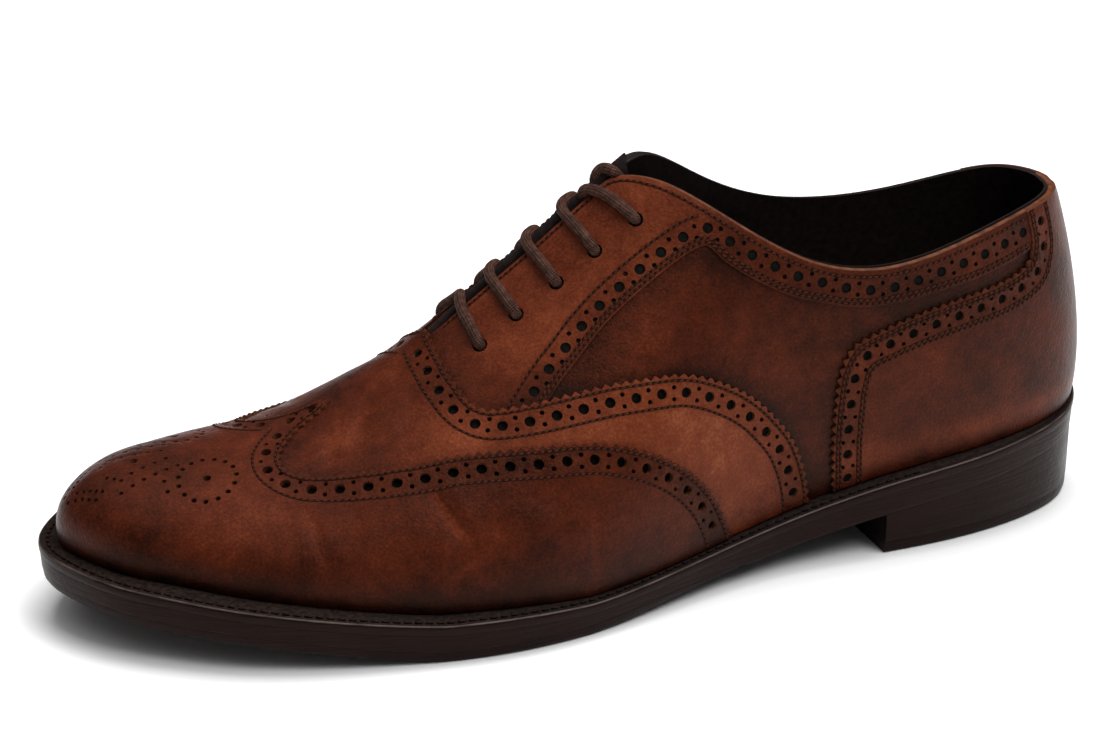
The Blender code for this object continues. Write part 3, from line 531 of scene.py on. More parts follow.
def both_sides(rows, place):
    """The chart rows on the lateral and on the medial side, with the sign of their left."""
    rows = np.array(rows, float)
    mirror = mirror_front if place is front_place else mirror_heel
    return ((rows, 1.0), (mirror(rows), -1.0))


def chart_spline(rows, count):
    """Points along a spline through chart rows."""
    rows = np.array(rows, float)
    lengths = np.hypot(np.diff(rows[:, 0]) * CHART_RIB, np.diff(rows[:, 1]) * CHART_UP)
    reach = np.concatenate([[0.0], np.cumsum(lengths)])
    at = np.linspace(0, reach[-1], count)
    return np.stack([natural_spline(reach, rows[:, 0])(at), natural_spline(reach, rows[:, 1])(at)], -1)


def bare(place, chart):
    """Points of the last's bare surface at chart points."""
    return on_last(*place(np.asarray(chart, float)))


def evened(place, line, spacing):
    """The chart line at even steps measured on the shoe."""
    reach = reach_along(bare(place, line))
    at = np.linspace(0, reach[-1], max(2, int(round(reach[-1] / spacing)) + 1))
    return np.stack([np.interp(at, reach, line[:, k]) for k in (0, 1)], -1)


def chart_steps(place, chart):
    """How the surface moves with each chart value."""
    step = 0.002
    by_rib = (bare(place, chart + (step, 0)) - bare(place, chart - (step, 0))) / (2 * step)
    by_up = (bare(place, chart + (0, step)) - bare(place, chart - (0, step))) / (2 * step)
    return by_rib, by_up


def chart_moves(place, chart, moves):
    """Chart changes that give small moves in the surface."""
    by_rib, by_up = chart_steps(place, chart)
    rr, ru, uu = (by_rib * by_rib).sum(-1), (by_rib * by_up).sum(-1), (by_up * by_up).sum(-1)
    mr, mu = (by_rib * moves).sum(-1), (by_up * moves).sum(-1)
    size = rr * uu - ru * ru
    return np.stack([(uu * mr - ru * mu) / size, (rr * mu - ru * mr) / size], -1)


def shifted(place, line, distance):
    """The chart line moved to its left on the shoe by a distance, or by one for each point."""
    by_rib, by_up = chart_steps(place, line)
    along = unit(np.gradient(bare(place, line), axis=0))
    left = np.cross(unit(np.cross(by_rib, by_up)), along)
    return line + chart_moves(place, line, left * np.broadcast_to(distance, len(line))[:, None])


def gimped(place, rows, side):
    """A saw-toothed edge along chart rows."""
    line = evened(place, chart_spline(rows, LINE_COUNT), TOOTH_PITCH / 4)
    wave = np.resize([0.0, 0.5, 0.0, -0.5], len(line))
    wave[[0, -1]] = 0.0
    if place is heel_place:
        wave[line[:, 1] > PLAIN_TAB_UP] = 0.0
    return shifted(place, line, wave * TOOTH_DEPTH * side)


def ring(place, centre, radius, sides):
    """Chart polygon of a round hole on the shoe."""
    centre = np.asarray(centre, float)
    by_rib, by_up = chart_steps(place, centre)
    across = unit(by_rib)
    upward = np.cross(unit(np.cross(by_rib, by_up)), across)
    angles = np.arange(sides) * 2 * np.pi / sides
    moves = radius * (np.cos(angles)[:, None] * across + np.sin(angles)[:, None] * upward)
    return centre + chart_moves(place, np.repeat(centre[None], sides, 0), moves)


def punched_row(place, line):
    """Big holes at even steps along a chart line and pairs of small ones between, as (centre, radius)."""
    centres = evened(place, line, PUNCH_PITCH)
    between = (centres[1:] + centres[:-1]) / 2
    holes = [(centre, BIG_HOLE) for centre in centres]
    for distance in (-PAIR_SPREAD, PAIR_SPREAD):
        holes += [(centre, SMALL_HOLE) for centre in shifted(place, between, distance)]
    return holes


def on_plan(x, y):
    """Front chart places on the toe's lateral half that lie over plan points, by Newton steps."""
    goal = np.stack([x, y], -1) * MM
    first_rib, first_up = TOE_CHART_LOW
    ribs, ups = np.meshgrid(np.linspace(first_rib, TOE_RIB, 121), np.linspace(first_up, 1, 81), indexing="ij")
    net = np.stack([ribs, ups], -1).reshape(-1, 2)
    net_plan = bare(front_place, net)[:, :2]
    nearest = [np.argmin(((net_plan - point) ** 2).sum(1)) for point in goal]
    chart = np.clip(net[nearest], TOE_CHART_LOW, (TOE_RIB - 0.01, 0.98))
    for _ in range(12):
        by_rib, by_up = (step[:, :2] for step in chart_steps(front_place, chart))
        miss = goal - bare(front_place, chart)[:, :2]
        size = by_rib[:, 0] * by_up[:, 1] - by_rib[:, 1] * by_up[:, 0]
        change = np.stack([(miss[:, 0] * by_up[:, 1] - miss[:, 1] * by_up[:, 0]) / size,
                           (miss[:, 1] * by_rib[:, 0] - miss[:, 0] * by_rib[:, 1]) / size], -1)
        chart = np.clip(chart + np.clip(change, -0.3, 0.3), TOE_CHART_LOW, (TOE_RIB, NEAR_RIDGE))
    return chart


# Creases

CREASES = [dict(zip(CREASE_COLUMNS, row)) for row in CREASE_ROWS]


def crease_line(crease, count=14):
    """Chart points along a crease, a curve through its three places."""
    t = np.linspace(0, 1, count)[:, None]
    start, middle, end = (np.array([crease[f"rib{k}"], crease[f"up{k}"]]) for k in range(3))
    return start * (1 - t) * (1 - 2 * t) + middle * 4 * t * (1 - t) + end * t * (2 * t - 1)


def crease_reach(chart, crease):
    """Distance to a crease in the chart's scale, and how full its depth is along its length."""
    scale = np.array([CHART_RIB, CHART_UP])
    line = crease_line(crease) * scale
    flat = chart * scale
    nearest = np.full(len(flat), 1e9)
    place = np.zeros(len(flat))
    for k in range(len(line) - 1):
        run = line[k + 1] - line[k]
        share = np.clip(((flat - line[k]) @ run) / (run @ run), 0, 1)
        far = np.linalg.norm(flat - line[k] - share[:, None] * run, axis=1)
        closer = far < nearest
        nearest = np.where(closer, far, nearest)
        place = np.where(closer, (k + share) / (len(line) - 1), place)
    return nearest, np.sqrt(np.clip(np.sin(np.pi * np.clip(place, 0.02, 0.98)), 0, 1))


def as_front(rib, up):
    """Front chart of a rib and up on either side."""
    rib = rib % LOOP
    lateral = rib <= TOE_RIB
    return np.stack([np.where(lateral, rib, LOOP - rib), np.where(lateral, up, 2 - up)], -1)


def relief(rib, up):
    """Height of the worn leather's troughs and soft ridges, and how pale the worn lines are."""
    chart = as_front(rib, up)
    height = np.zeros(len(chart))
    worn = np.zeros(len(chart))
    for crease in CREASES:
        far, full = crease_reach(chart, crease)
        width = crease["width"] * MM
        trough = np.exp(-(far / width) ** 2) - 0.45 * np.exp(-((far - 2.1 * width) / width) ** 2)
        height -= crease["depth"] * MM * full * trough
        worn = np.maximum(worn, crease["worn"] * full * np.exp(-(far / (0.7 * MM)) ** 2))
    return height, worn


def raised(place, chart, height):
    """Points at a height above the creased leather."""
    rib, up = place(np.asarray(chart, float))
    swell, _ = relief(rib, up)
    return on_last(rib, up) + outward(rib, up) * (swell + height)[:, None]


# Meshes

WELT_LOW = np.array(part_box("welt")[0])
RING_RIBS = np.linspace(0, LOOP, 601)
SHIFT = np.array([WELT_LOW[0] - edge_x(RING_RIBS).min(), WELT_LOW[1] - edge_y(RING_RIBS).min(), 0.0])


def mesh_object(name, points, faces, looks, nodes=(), values=None, sharp_angle=0.6, look_index=None):
    """A mesh object in the shared frame, with point values for its materials."""
    data = bpy.data.meshes.new(name)
    data.from_pydata([tuple(p) for p in np.asarray(points) + SHIFT], [], [tuple(f) for f in faces])
    data.update()
    data.shade_smooth()
    data.set_sharp_from_angle(angle=sharp_angle)
    for key, numbers in (values or {}).items():
        data.attributes.new(key, "FLOAT", "POINT").data.foreach_set("value", np.asarray(numbers, np.float32))
    made = bpy.data.objects.new(name, data)
    bpy.context.collection.objects.link(made)
    for look in looks:
        data.materials.append(look)
    if look_index is not None:
        data.polygons.foreach_set("material_index", np.asarray(look_index, np.int32))
    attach(made, "root")
    if nodes:
        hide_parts(*nodes)


def crossing_inside(points, outline):
    """Which points lie inside a closed outline."""
    crossings = np.zeros(len(points), int)
    for a, b in zip(outline, np.roll(outline, -1, 0)):
        if a[1] == b[1]:
            continue
        spans = (a[1] > points[:, 1]) != (b[1] > points[:, 1])
        crossings += spans & (points[:, 0] < a[0] + (points[:, 1] - a[1]) * (b[0] - a[0]) / (b[1] - a[1]))
    return crossings % 2 == 1


def thinned(taken, offered, spacing):
    """The offered points that keep their distance from the taken ones and from each other."""
    cells = {}
    for point in taken:
        cells.setdefault(tuple((point // spacing).astype(int)), []).append((point, RIM_SHARE * spacing))
    kept = []
    around = [(i, j, k) for i in (-1, 0, 1) for j in (-1, 0, 1) for k in (-1, 0, 1)]
    for index, point in enumerate(offered):
        cell = tuple((point // spacing).astype(int))
        clear = True
        for i, j, k in around:
            for other, least in cells.get((cell[0] + i, cell[1] + j, cell[2] + k), ()):
                if ((point - other) ** 2).sum() < least * least:
                    clear = False
                    break
            if not clear:
                break
        if clear:
            kept.append(index)
            cells.setdefault(cell, []).append((point, NET_SHARE * spacing))
    return kept


def crease_points(place):
    """Extra chart points along and beside the creases, so that their narrow lines have room."""
    if place is heel_place:
        return np.zeros((0, 2))
    found = []
    for crease in CREASES:
        line = evened(place, crease_line(crease), 1.0 * MM)
        found += [shifted(place, line, distance * MM) for distance in CREASE_OFFSETS]
    return np.concatenate(found)


def net_inside(place, outline, rings, spacing):
    """Chart points spread evenly on the shoe inside an outline and clear of the holes."""
    low, high = outline.min(0), outline.max(0)
    rib_step, up_step = spacing / CHART_RIB * 0.8, spacing / CHART_UP * 0.62
    ribs = np.arange(low[0] + rib_step / 3, high[0], rib_step)
    ups = np.arange(low[1] + up_step / 3, high[1], up_step)
    net = np.stack(np.meshgrid(ribs, ups, indexing="ij"), -1)
    net[1::2, :, 1] += up_step / 2
    net = np.concatenate([crease_points(place), net.reshape(-1, 2)])
    net = net[crossing_inside(net, outline)]
    for hole in rings:
        reach = np.abs(hole - hole.mean(0)).max(0) * 1.2
        near = (np.abs(net - hole.mean(0)) < reach).all(1)
        net = net[~near]
    taken = bare(place, np.concatenate([outline, *rings]) if rings else outline)
    return net[thinned(taken, bare(place, net), spacing)]


def welded(points, faces):
    """Points at one place made one, and faces that keep three corners and lie on no other face."""
    keys = np.round(points / (0.002 * MM)).astype(np.int64)
    _, first, same = np.unique(keys, axis=0, return_index=True, return_inverse=True)
    same = same.reshape(-1)
    faces = same[faces]
    whole = (faces[:, 0] != faces[:, 1]) & (faces[:, 1] != faces[:, 2]) & (faces[:, 2] != faces[:, 0])
    faces = faces[whole]
    _, same, uses = np.unique(np.sort(faces, 1), axis=0, return_inverse=True, return_counts=True)
    return first, faces[uses[same.reshape(-1)] == 1]


def cut_sheet(place, outline, rings, spacing):
    """Chart points and faces of a leather sheet with holes."""
    net = net_inside(place, outline, rings, spacing)
    loops = [outline, *rings]
    chart = np.concatenate([*loops, net])
    rims, owner, start = [], np.full(len(chart), -1), 0
    for number, loop in enumerate(loops):
        count = len(loop)
        rims += [(start + k, start + (k + 1) % count) for k in range(count)]
        owner[start:start + count] = number
        start += count
    flat = chart * (CHART_RIB, CHART_UP) / MM
    made, _, faces, origin, _, _ = delaunay_2d_cdt([Vector(p) for p in flat], rims, [], 1, 1e-7)
    source = np.array([found[0] if found else -1 for found in origin])
    chart_out = np.array([tuple(p) for p in made]) * MM / (CHART_RIB, CHART_UP)
    chart_out[source >= 0] = chart[source[source >= 0]]
    holder = np.where(source >= 0, owner[source], -1)
    faces = np.array(faces)
    held = holder[faces]
    in_hole = (held[:, 0] > 0) & (held[:, 0] == held[:, 1]) & (held[:, 1] == held[:, 2])
    faces = faces[~in_hole][:, ::-1]
    first, faces = welded(bare(place, chart_out), faces)
    return chart_out[first], faces


def rim_edges(faces):
    """Edges that one face has, in that face's direction."""
    pairs = np.concatenate([faces[:, [0, 1]], faces[:, [1, 2]], faces[:, [2, 0]]])
    known = {tuple(pair) for pair in pairs}
    return np.array([pair for pair in pairs if (pair[1], pair[0]) not in known])


def leather_piece(name, place, outline, holes, layer, tone, looks, nodes,
                  spacing=MESH_STEP, floor=None):
    """A closed leather sheet between two heights, with a softened edge and a tone at each point.

    A floor test gives the top faces that take the third look, which on the upper is painted shade seen down
    the holes.
    """
    low, high = layer
    rings = [ring(place, centre, radius, BIG_SIDES if radius > SMALL_HOLE else SMALL_SIDES)
             for centre, radius in holes]
    chart, faces = cut_sheet(place, outline, rings, spacing)
    rim = rim_edges(faces)
    count = len(chart)
    at_rim = np.zeros(count, bool)
    at_rim[rim.ravel()] = True
    top = raised(place, chart, np.where(at_rim, high - SOFT_EDGE, high))
    bottom = raised(place, chart, np.full(count, low))
    walls = np.stack([rim[:, 1], rim[:, 0], rim[:, 0] + count, rim[:, 1] + count], 1)
    all_faces = [*faces, *(faces[:, ::-1] + count), *walls]
    looks_of_faces = np.concatenate([np.zeros(len(faces)), np.ones(len(faces) + len(walls))])
    if floor is not None:
        looks_of_faces[:len(faces)][floor(top[faces].mean(1))] = 2
    rib, up = place(chart)
    _, worn = relief(rib, up)
    values = {"tone": np.tile(tone(rib, up, top), 2), "worn": np.tile(worn, 2)}
    mesh_object(name, np.concatenate([top, bottom]), all_faces, looks, nodes, values,
                sharp_angle=0.9, look_index=looks_of_faces)


def clear_holes(place, holes, outline):
    """The holes that lie inside an outline and keep clear of it."""
    rim = bare(place, outline)
    inside = crossing_inside(np.array([centre for centre, _ in holes]), outline)
    kept = []
    for (centre, radius), within in zip(holes, inside):
        if within and np.linalg.norm(rim - bare(place, centre), axis=1).min() > radius + HOLE_MARGIN:
            kept.append((centre, radius))
    return kept


# Materials

WARM_SHINE = (1.0, 0.60, 0.47, 1.0)


def new_look(name):
    """A Principled material, its shader and its node tree."""
    look = bpy.data.materials.new(name)
    look.use_nodes = True
    return look, look.node_tree.nodes["Principled BSDF"], look.node_tree


def add_node(tree, kind, **settings):
    node = tree.nodes.new(kind)
    for key, value in settings.items():
        if key in node.inputs:
            node.inputs[key].default_value = value
        else:
            setattr(node, key, value)
    return node


def noise(tree, scale, detail=3.0, stretch=None):
    """A noise value in the shoe's own space, with its scale in cycles per metre."""
    place = add_node(tree, "ShaderNodeTexCoord").outputs["Object"]
    if stretch:
        mapping = add_node(tree, "ShaderNodeMapping")
        mapping.inputs["Scale"].default_value = stretch
        tree.links.new(place, mapping.inputs["Vector"])
        place = mapping.outputs["Vector"]
    made = add_node(tree, "ShaderNodeTexNoise", Scale=scale, Detail=detail)
    tree.links.new(place, made.inputs["Vector"])
    return made.outputs["Fac"]


def maths(tree, operation, first, second):
    """A sum, product or other step on two values, each a socket or a number."""
    node = add_node(tree, "ShaderNodeMath", operation=operation)
    for socket, value in zip(node.inputs, (first, second)):
        if isinstance(value, (int, float)):
            socket.default_value = value
        else:
            tree.links.new(value, socket)
    return node.outputs[0]


def plus(tree, first, second):
    return maths(tree, "ADD", first, second)


def times(tree, first, second):
    return maths(tree, "MULTIPLY", first, second)


def colour_ramp(tree, value, stops):
    node = add_node(tree, "ShaderNodeValToRGB")
    elements = node.color_ramp.elements
    while len(elements) < len(stops):
        elements.new(0.5)
    for element, (position, colour) in zip(elements, stops):
        element.position = position
        element.color = (*colour, 1.0)
    tree.links.new(value, node.inputs["Fac"])
    return node.outputs["Color"]


def point_value(tree, name):
    return add_node(tree, "ShaderNodeAttribute", attribute_name=name).outputs["Fac"]


def bump(tree, shader, height, strength, distance):
    node = add_node(tree, "ShaderNodeBump", Strength=strength, Distance=distance)
    tree.links.new(height, node.inputs["Height"])
    tree.links.new(node.outputs["Normal"], shader.inputs["Normal"])


def polished_leather(name):
    """Burnished calf: its tone comes from each point, with cloudy dye, fine grain and worn pale lines."""
    look, shader, tree = new_look(name)
    tone = point_value(tree, "tone")
    for scale, detail, strength in ((45, 4, 0.6), (240, 5, 0.32), (1300, 3, 0.45)):
        cloud = maths(tree, "SUBTRACT", noise(tree, scale, detail), 0.5)
        tone = plus(tree, tone, times(tree, cloud, strength))
    scratch = times(tree, point_value(tree, "worn"), noise(tree, 900, 4))
    tone = plus(tree, tone, scratch)
    colour = colour_ramp(tree, tone, (
        (0.0, (0.006, 0.0018, 0.0011)), (0.2, (0.024, 0.0046, 0.0019)), (0.45, (0.072, 0.0126, 0.0042)),
        (0.7, (0.145, 0.0305, 0.0112)), (1.0, (0.28, 0.086, 0.035))))
    tree.links.new(colour, shader.inputs["Base Color"])
    rough = plus(tree, times(tree, noise(tree, 130, 4), 0.22), 0.27)
    tree.links.new(plus(tree, rough, times(tree, scratch, 0.5)), shader.inputs["Roughness"])
    grain = plus(tree, noise(tree, 1500, 4), times(tree, noise(tree, 420, 5), 0.9))
    bump(tree, shader, grain, 0.3, 0.0006)
    shader.inputs["Specular IOR Level"].default_value = 0.16
    shader.inputs["Specular Tint"].default_value = WARM_SHINE
    return look


def plain_look(name, dark, light, roughness, grain_scale, grain, specular=0.4):
    """Two close colours in a noise, with a bump of the same grain."""
    look, shader, tree = new_look(name)
    value = noise(tree, grain_scale, 5)
    tree.links.new(colour_ramp(tree, value, ((0.3, dark), (0.72, light))), shader.inputs["Base Color"])
    rough = plus(tree, times(tree, value, 0.2), roughness - 0.1)
    tree.links.new(rough, shader.inputs["Roughness"])
    bump(tree, shader, value, grain, 0.0008)
    shader.inputs["Specular IOR Level"].default_value = specular
    return look


def edge_look(name):
    """The sole's inked and waxed edge, with fine lines along it and dull patches."""
    look, shader, tree = new_look(name)
    lines = noise(tree, 1.0, 4, stretch=(60, 60, 1400))
    patches = noise(tree, 70, 5)
    value = plus(tree, times(tree, lines, 0.5), times(tree, patches, 0.5))
    colour = colour_ramp(tree, value, (
        (0.3, (0.0042, 0.0022, 0.0022)), (0.62, (0.0105, 0.0055, 0.0054)), (0.8, (0.026, 0.0145, 0.013))))
    tree.links.new(colour, shader.inputs["Base Color"])
    tree.links.new(plus(tree, times(tree, patches, 0.3), 0.22), shader.inputs["Roughness"])
    bump(tree, shader, plus(tree, lines, times(tree, noise(tree, 600, 4), 0.6)), 0.35, 0.0006)
    shader.inputs["Specular IOR Level"].default_value = 0.1
    shader.inputs["Specular Tint"].default_value = WARM_SHINE
    return look


def lace_look(name):
    """Waxed cotton cord: a braid of slanting threads round the tube."""
    look, shader, tree = new_look(name)
    along, around = point_value(tree, "along"), point_value(tree, "around")
    left = maths(tree, "SINE", plus(tree, along, around), 0.0)
    right = maths(tree, "SINE", maths(tree, "SUBTRACT", along, around), 0.0)
    braid = times(tree, left, right)
    value = plus(tree, times(tree, braid, 0.25), noise(tree, 700, 4))
    colour = colour_ramp(tree, value, (
        (0.2, (0.019, 0.0086, 0.0062)), (0.55, (0.058, 0.0255, 0.0175)), (0.85, (0.135, 0.062, 0.042))))
    tree.links.new(colour, shader.inputs["Base Color"])
    bump(tree, shader, plus(tree, braid, times(tree, noise(tree, 1800, 3), 0.8)), 0.5, 0.0004)
    shader.inputs["Roughness"].default_value = 0.7
    shader.inputs["Specular IOR Level"].default_value = 0.15
    return look


# Plain looks: dark and light colour, roughness, cycles of grain in a metre, grain and specular level
LEATHER = polished_leather("polished_leather")
RAW_EDGE = plain_look("raw_leather_edge", (0.045, 0.014, 0.007), (0.15, 0.05, 0.024), 0.6, 900, 0.3, 0.2)
DARK_CUT = plain_look("dark_cut_edge", (0.014, 0.006, 0.004), (0.045, 0.017, 0.009), 0.7, 900, 0.3, 0.2)
BEAD = plain_look("worn_collar_edge", (0.05, 0.014, 0.006), (0.17, 0.058, 0.024), 0.5, 350, 0.3, 0.2)
GROOVE = plain_look("stitch_groove", (0.012, 0.0032, 0.0018), (0.024, 0.0062, 0.0030), 0.8, 900, 0.2, 0.05)
# Painted shade: a near-black look for the upper's top under the punching, standing in for the shade down the
# holes
HOLE_SHADE = plain_look("painted_hole_shade", (0.004, 0.0038, 0.0032), (0.010, 0.0095, 0.008), 0.9, 900, 0.2, 0.05)
THREAD = plain_look("waxed_thread", (0.026, 0.0085, 0.0048), (0.070, 0.024, 0.013), 0.6, 2500, 0.4, 0.1)
LINING = plain_look("black_lining", (0.006, 0.003, 0.0028), (0.016, 0.0085, 0.0078), 0.55, 500, 0.25, 0.2)
WELT_TOP = plain_look("welt_leather", (0.004, 0.0023, 0.0019), (0.025, 0.014, 0.0105), 0.7, 700, 1.0, 0.15)
# Painted highlight: a pale look on the welt lip's outer face stands in for the light it catches
WELT_LIP_HIGHLIGHT = plain_look("welt_lip_painted_highlight", (0.012, 0.0075, 0.0062), (0.09, 0.062, 0.052), 0.45, 160, 0.4, 0.3)
SOLE_EDGE = edge_look("waxed_sole_edge")
LACE = lace_look("waxed_lace")


# Tones of the leather, 0 burnished dark to 1 tan, with painted shade and painted highlights mixed in

def line_points(place, rows):
    return bare(place, evened(place, chart_spline(rows, 300), LINE_STEP))


def nearest_to(points, line):
    """Distance of each point to a line's points."""
    best = np.full(len(points), 1e9)
    for start in range(0, len(line), 60):
        block = line[start:start + 60]
        far = ((points[:, None, :] - block[None]) ** 2).sum(-1).min(1)
        best = np.minimum(best, far)
    return np.sqrt(best)


def both_lines(rows, place):
    return np.concatenate([line_points(place, side_rows) for side_rows, _ in both_sides(rows, place)])


WING_POINTS = both_lines(WING_LINE, front_place)
VAMP_POINTS = both_lines(VAMP_LINE, front_place)
COUNTER_POINTS = both_lines(COUNTER_LINE, heel_place)
FACING_POINTS = both_lines(FACING_LINE, front_place)
STRIP = 9 * MM


def low_polish_and_shade(up):
    """Darker towards the welt: dark polish and painted shade on the lower sides."""
    return 0.25 * (1 - ramp(up, 0.02, 0.24)) ** 1.5


def in_strip(points, line):
    return 1 - ramp(nearest_to(points, line), STRIP - 1.0 * MM, STRIP + 0.5 * MM)


def seam_dye_and_shade(points, line, width):
    """Dark dye and polish along a seam, and painted shade cast by the seam's raised edge."""
    return np.exp(-nearest_to(points, line) / width)


def spot(chart, rib, up, rib_reach, up_reach):
    """A soft patch round a chart place."""
    return np.exp(-((chart[:, 0] - rib) / rib_reach) ** 2 - ((chart[:, 1] - up) / up_reach) ** 2)


def wing_tone(rib, up, points):
    tone = 0.38 - 0.03 * in_strip(points, WING_POINTS) - low_polish_and_shade(up)
    return tone - 0.10 * ramp(points[:, 0], 262 * MM, 300 * MM)


def vamp_tone(rib, up, points):
    chart = as_front(rib, up)
    # Painted highlight: the vamp's low back is made paler for the sheen it catches
    low_back_sheen = (1 - ramp(chart[:, 0], 8.2, 9.1)) * (1 - ramp(chart[:, 1], 0.56, 0.76))
    tone = 0.38 + 0.38 * low_back_sheen + 0.20 * spot(chart, 9.6, 0.76, 0.35, 0.10)
    tone = tone - low_polish_and_shade(up) - 0.12 * in_strip(points, VAMP_POINTS) * (0.4 + 0.6 * low_back_sheen)
    return tone - 0.17 * seam_dye_and_shade(points, WING_POINTS, 3 * MM)


def facing_tone(rib, up, points):
    chart = as_front(rib, up)
    tone = 0.56 - 0.08 * in_strip(points, FACING_POINTS) - 0.20 * (1 - ramp(chart[:, 0], 4.7, 5.7))
    return tone - 0.28 * seam_dye_and_shade(points, VAMP_POINTS, 6 * MM)


def counter_tone(rib, up, points):
    tone = 0.34 + 0.02 * in_strip(points, COUNTER_POINTS) - 0.3 * low_polish_and_shade(up)
    # The first term, a paler band just above the welt, is a painted reflection of the floor on the counter's
    # foot
    tone = tone + 0.24 * np.exp(-((up - 0.065) / 0.035) ** 2) + 0.10 * ramp(up, 0.36, 0.42)
    return tone - 0.04 * np.exp(-((points[:, 0] - 12 * MM) / (14 * MM)) ** 2)


def quarter_tone(rib, up, points):
    # The paler spot on the quarter between the vamp and the facing is a painted highlight
    tone = 0.32 - 0.3 * low_polish_and_shade(up) + 0.1 * spot(as_front(rib, up), 6.7, 0.47, 0.4, 0.06)
    tone = tone - 0.26 * seam_dye_and_shade(points, VAMP_POINTS, 2.6 * MM) - 0.30 * seam_dye_and_shade(points, COUNTER_POINTS, 2.6 * MM)
    return tone - 0.12 * seam_dye_and_shade(points, FACING_POINTS, 4 * MM)


# Panels

def side_run(start, end, spacing=MESH_STEP, place=front_place):
    """Chart points from a start up to an end, without the end."""
    return evened(place, np.linspace(start, end, 60), spacing)[:-1]


def top_line(ribs, side, below):
    """Front chart points under the top edge on one side."""
    ribs = np.asarray(ribs, float)
    line = np.stack([ribs, top_share(ribs if side > 0 else LOOP - ribs)], -1)
    line = line if side > 0 else mirror_front(line)
    return shifted(front_place, line, -below * side)


TOP_RIBS = np.concatenate([
    np.arange(1.4, 5.4, 0.06), np.arange(5.4, 7.0, 0.025), np.arange(7.0, 8.5, 0.06)])


def inner_row(rows, inset, side, first=0.0):
    """The part on its own side of a front chart line moved by an inset, from a first rib on."""
    line = shifted(front_place, chart_spline(rows, LINE_COUNT), inset * side)
    return line[(side * (1 - line[:, 1]) > 0.012) & (line[:, 0] > first)]


def front_strips(rows, inset, least, most):
    """Middle lines of a panel's punched strips, which stop short of the ridge and of the welt."""
    lines = []
    for side_rows, side in both_sides(rows, front_place):
        line = inner_row(side_rows, -inset, side)
        from_ridge = np.abs(line[:, 1] - 1)
        lines.append(line[(from_ridge < most) & (from_ridge > least)])
    return lines


def counter_row(rows, side, inset, tab_inset):
    """The counter's edge line moved by an inset, and by a little more on the backstay's tab."""
    line = chart_spline(np.concatenate([rows, [rows[-1] + (0, 0.04)]]), LINE_COUNT)
    return shifted(heel_place, line, (inset + tab_inset * ramp(line[:, 1], 0.37, 0.41)) * side)


def facing_strip(rows, side):
    """Middle line of the strip under the collar and beside the facing."""
    line = chart_spline(rows, LINE_COUNT)
    line = line[(line[:, 0] > FACING_RIBS[0]) & (line[:, 0] < FACING_RIBS[1])]
    low_dip = np.exp(-((line[:, 0] - 3.9) / 0.6) ** 2)
    inset = FACING_PUNCHING - FACING_RISE * low_dip - FACING_RISE * ramp(line[:, 0], 5.3, 5.9)
    return shifted(front_place, line, inset * side)


WING_STRIPS = front_strips(WING_LINE, *WING_PUNCHING)
VAMP_STRIPS = front_strips(VAMP_LINE, *VAMP_PUNCHING)
COUNTER_STRIPS = [counter_row(rows, side, *COUNTER_PUNCHING)[COUNTER_FIRST:]
                  for rows, side in both_sides(COUNTER_LINE, heel_place)]
FACING_STRIPS = [facing_strip(rows, side)
                 for rows, side in both_sides(FACING_LINE + FACING_REST, front_place)]


def wing_outline():
    """The cap's outline, cut along the toe's middle round half of the middle hole."""
    low_t = WING_LINE[0][1]
    gimp = gimped(front_place, WING_LINE, 1.0)
    gimp[-1] = WING_LINE[-1]
    low_run = side_run((TOE_RIB, low_t), gimp[0])
    angles = np.linspace(0, np.pi, 7)
    radius = BIG_HOLE / MM * MEDALLION_SHARE
    arc_x, arc_y = MEDALLION_CENTRE_X + radius * np.cos(angles), MEDALLION_MIDDLE_Y + radius * np.sin(angles)
    arc = on_plan(arc_x, arc_y)[::-1]
    arc[[0, -1], 0] = TOE_RIB
    to_hole = side_run((TOE_RIB, NEAR_RIDGE), arc[0])
    to_low = side_run(arc[-1], (TOE_RIB, low_t))[1:]
    lateral = np.concatenate([to_hole, arc, to_low, low_run, gimp])
    return np.concatenate([lateral, mirror_front(lateral[:-1])[::-1]])


def vamp_outline():
    back = gimped(front_place, VAMP_LINE, 1.0)
    under = shifted(front_place, chart_spline(WING_LINE, LINE_COUNT), -UNDER_WING)
    under = evened(front_place, under[under[:, 1] < 0.99], MESH_STEP)
    under[0] = (under[0, 0], back[0, 1])
    under = np.concatenate([under, [(under[-1, 0] - 0.02, 1.0)]])
    low_run = side_run(under[0], back[0])[1:]
    lateral = np.concatenate([under[::-1], low_run, back])
    return np.concatenate([lateral, mirror_front(lateral[1:-1])[::-1]])


def facing_outline(rows, side):
    low = evened(front_place, chart_spline(rows, 300), MESH_STEP)
    vamp_rows = chart_spline(VAMP_LINE if side > 0 else mirror_front(VAMP_LINE), LINE_COUNT)
    first, last = FACING_SEAM_RIBS
    vamp_rows = vamp_rows[(vamp_rows[:, 0] > first) & (vamp_rows[:, 0] < last)]
    seam = shifted(front_place, evened(front_place, vamp_rows, MESH_STEP), -UNDER_VAMP * side)
    top = top_line(TOP_RIBS[TOP_RIBS > FACING_START], side, TOP_INSET)
    return np.concatenate([low, seam[2:], evened(front_place, top, MESH_STEP)[::-1]])


def counter_outline():
    gimp = gimped(heel_place, COUNTER_LINE, 1.0)
    ribs = np.linspace(BACKSTAY_RIB, -BACKSTAY_RIB, 200)
    top = np.stack([ribs, top_share(ribs)], -1)
    top = evened(heel_place, shifted(heel_place, top, TOP_INSET), MESH_STEP)
    low_run = side_run(mirror_heel(gimp[0]), gimp[0], place=heel_place)[1:]
    return np.concatenate([gimp, top, mirror_heel(gimp)[::-1], low_run])


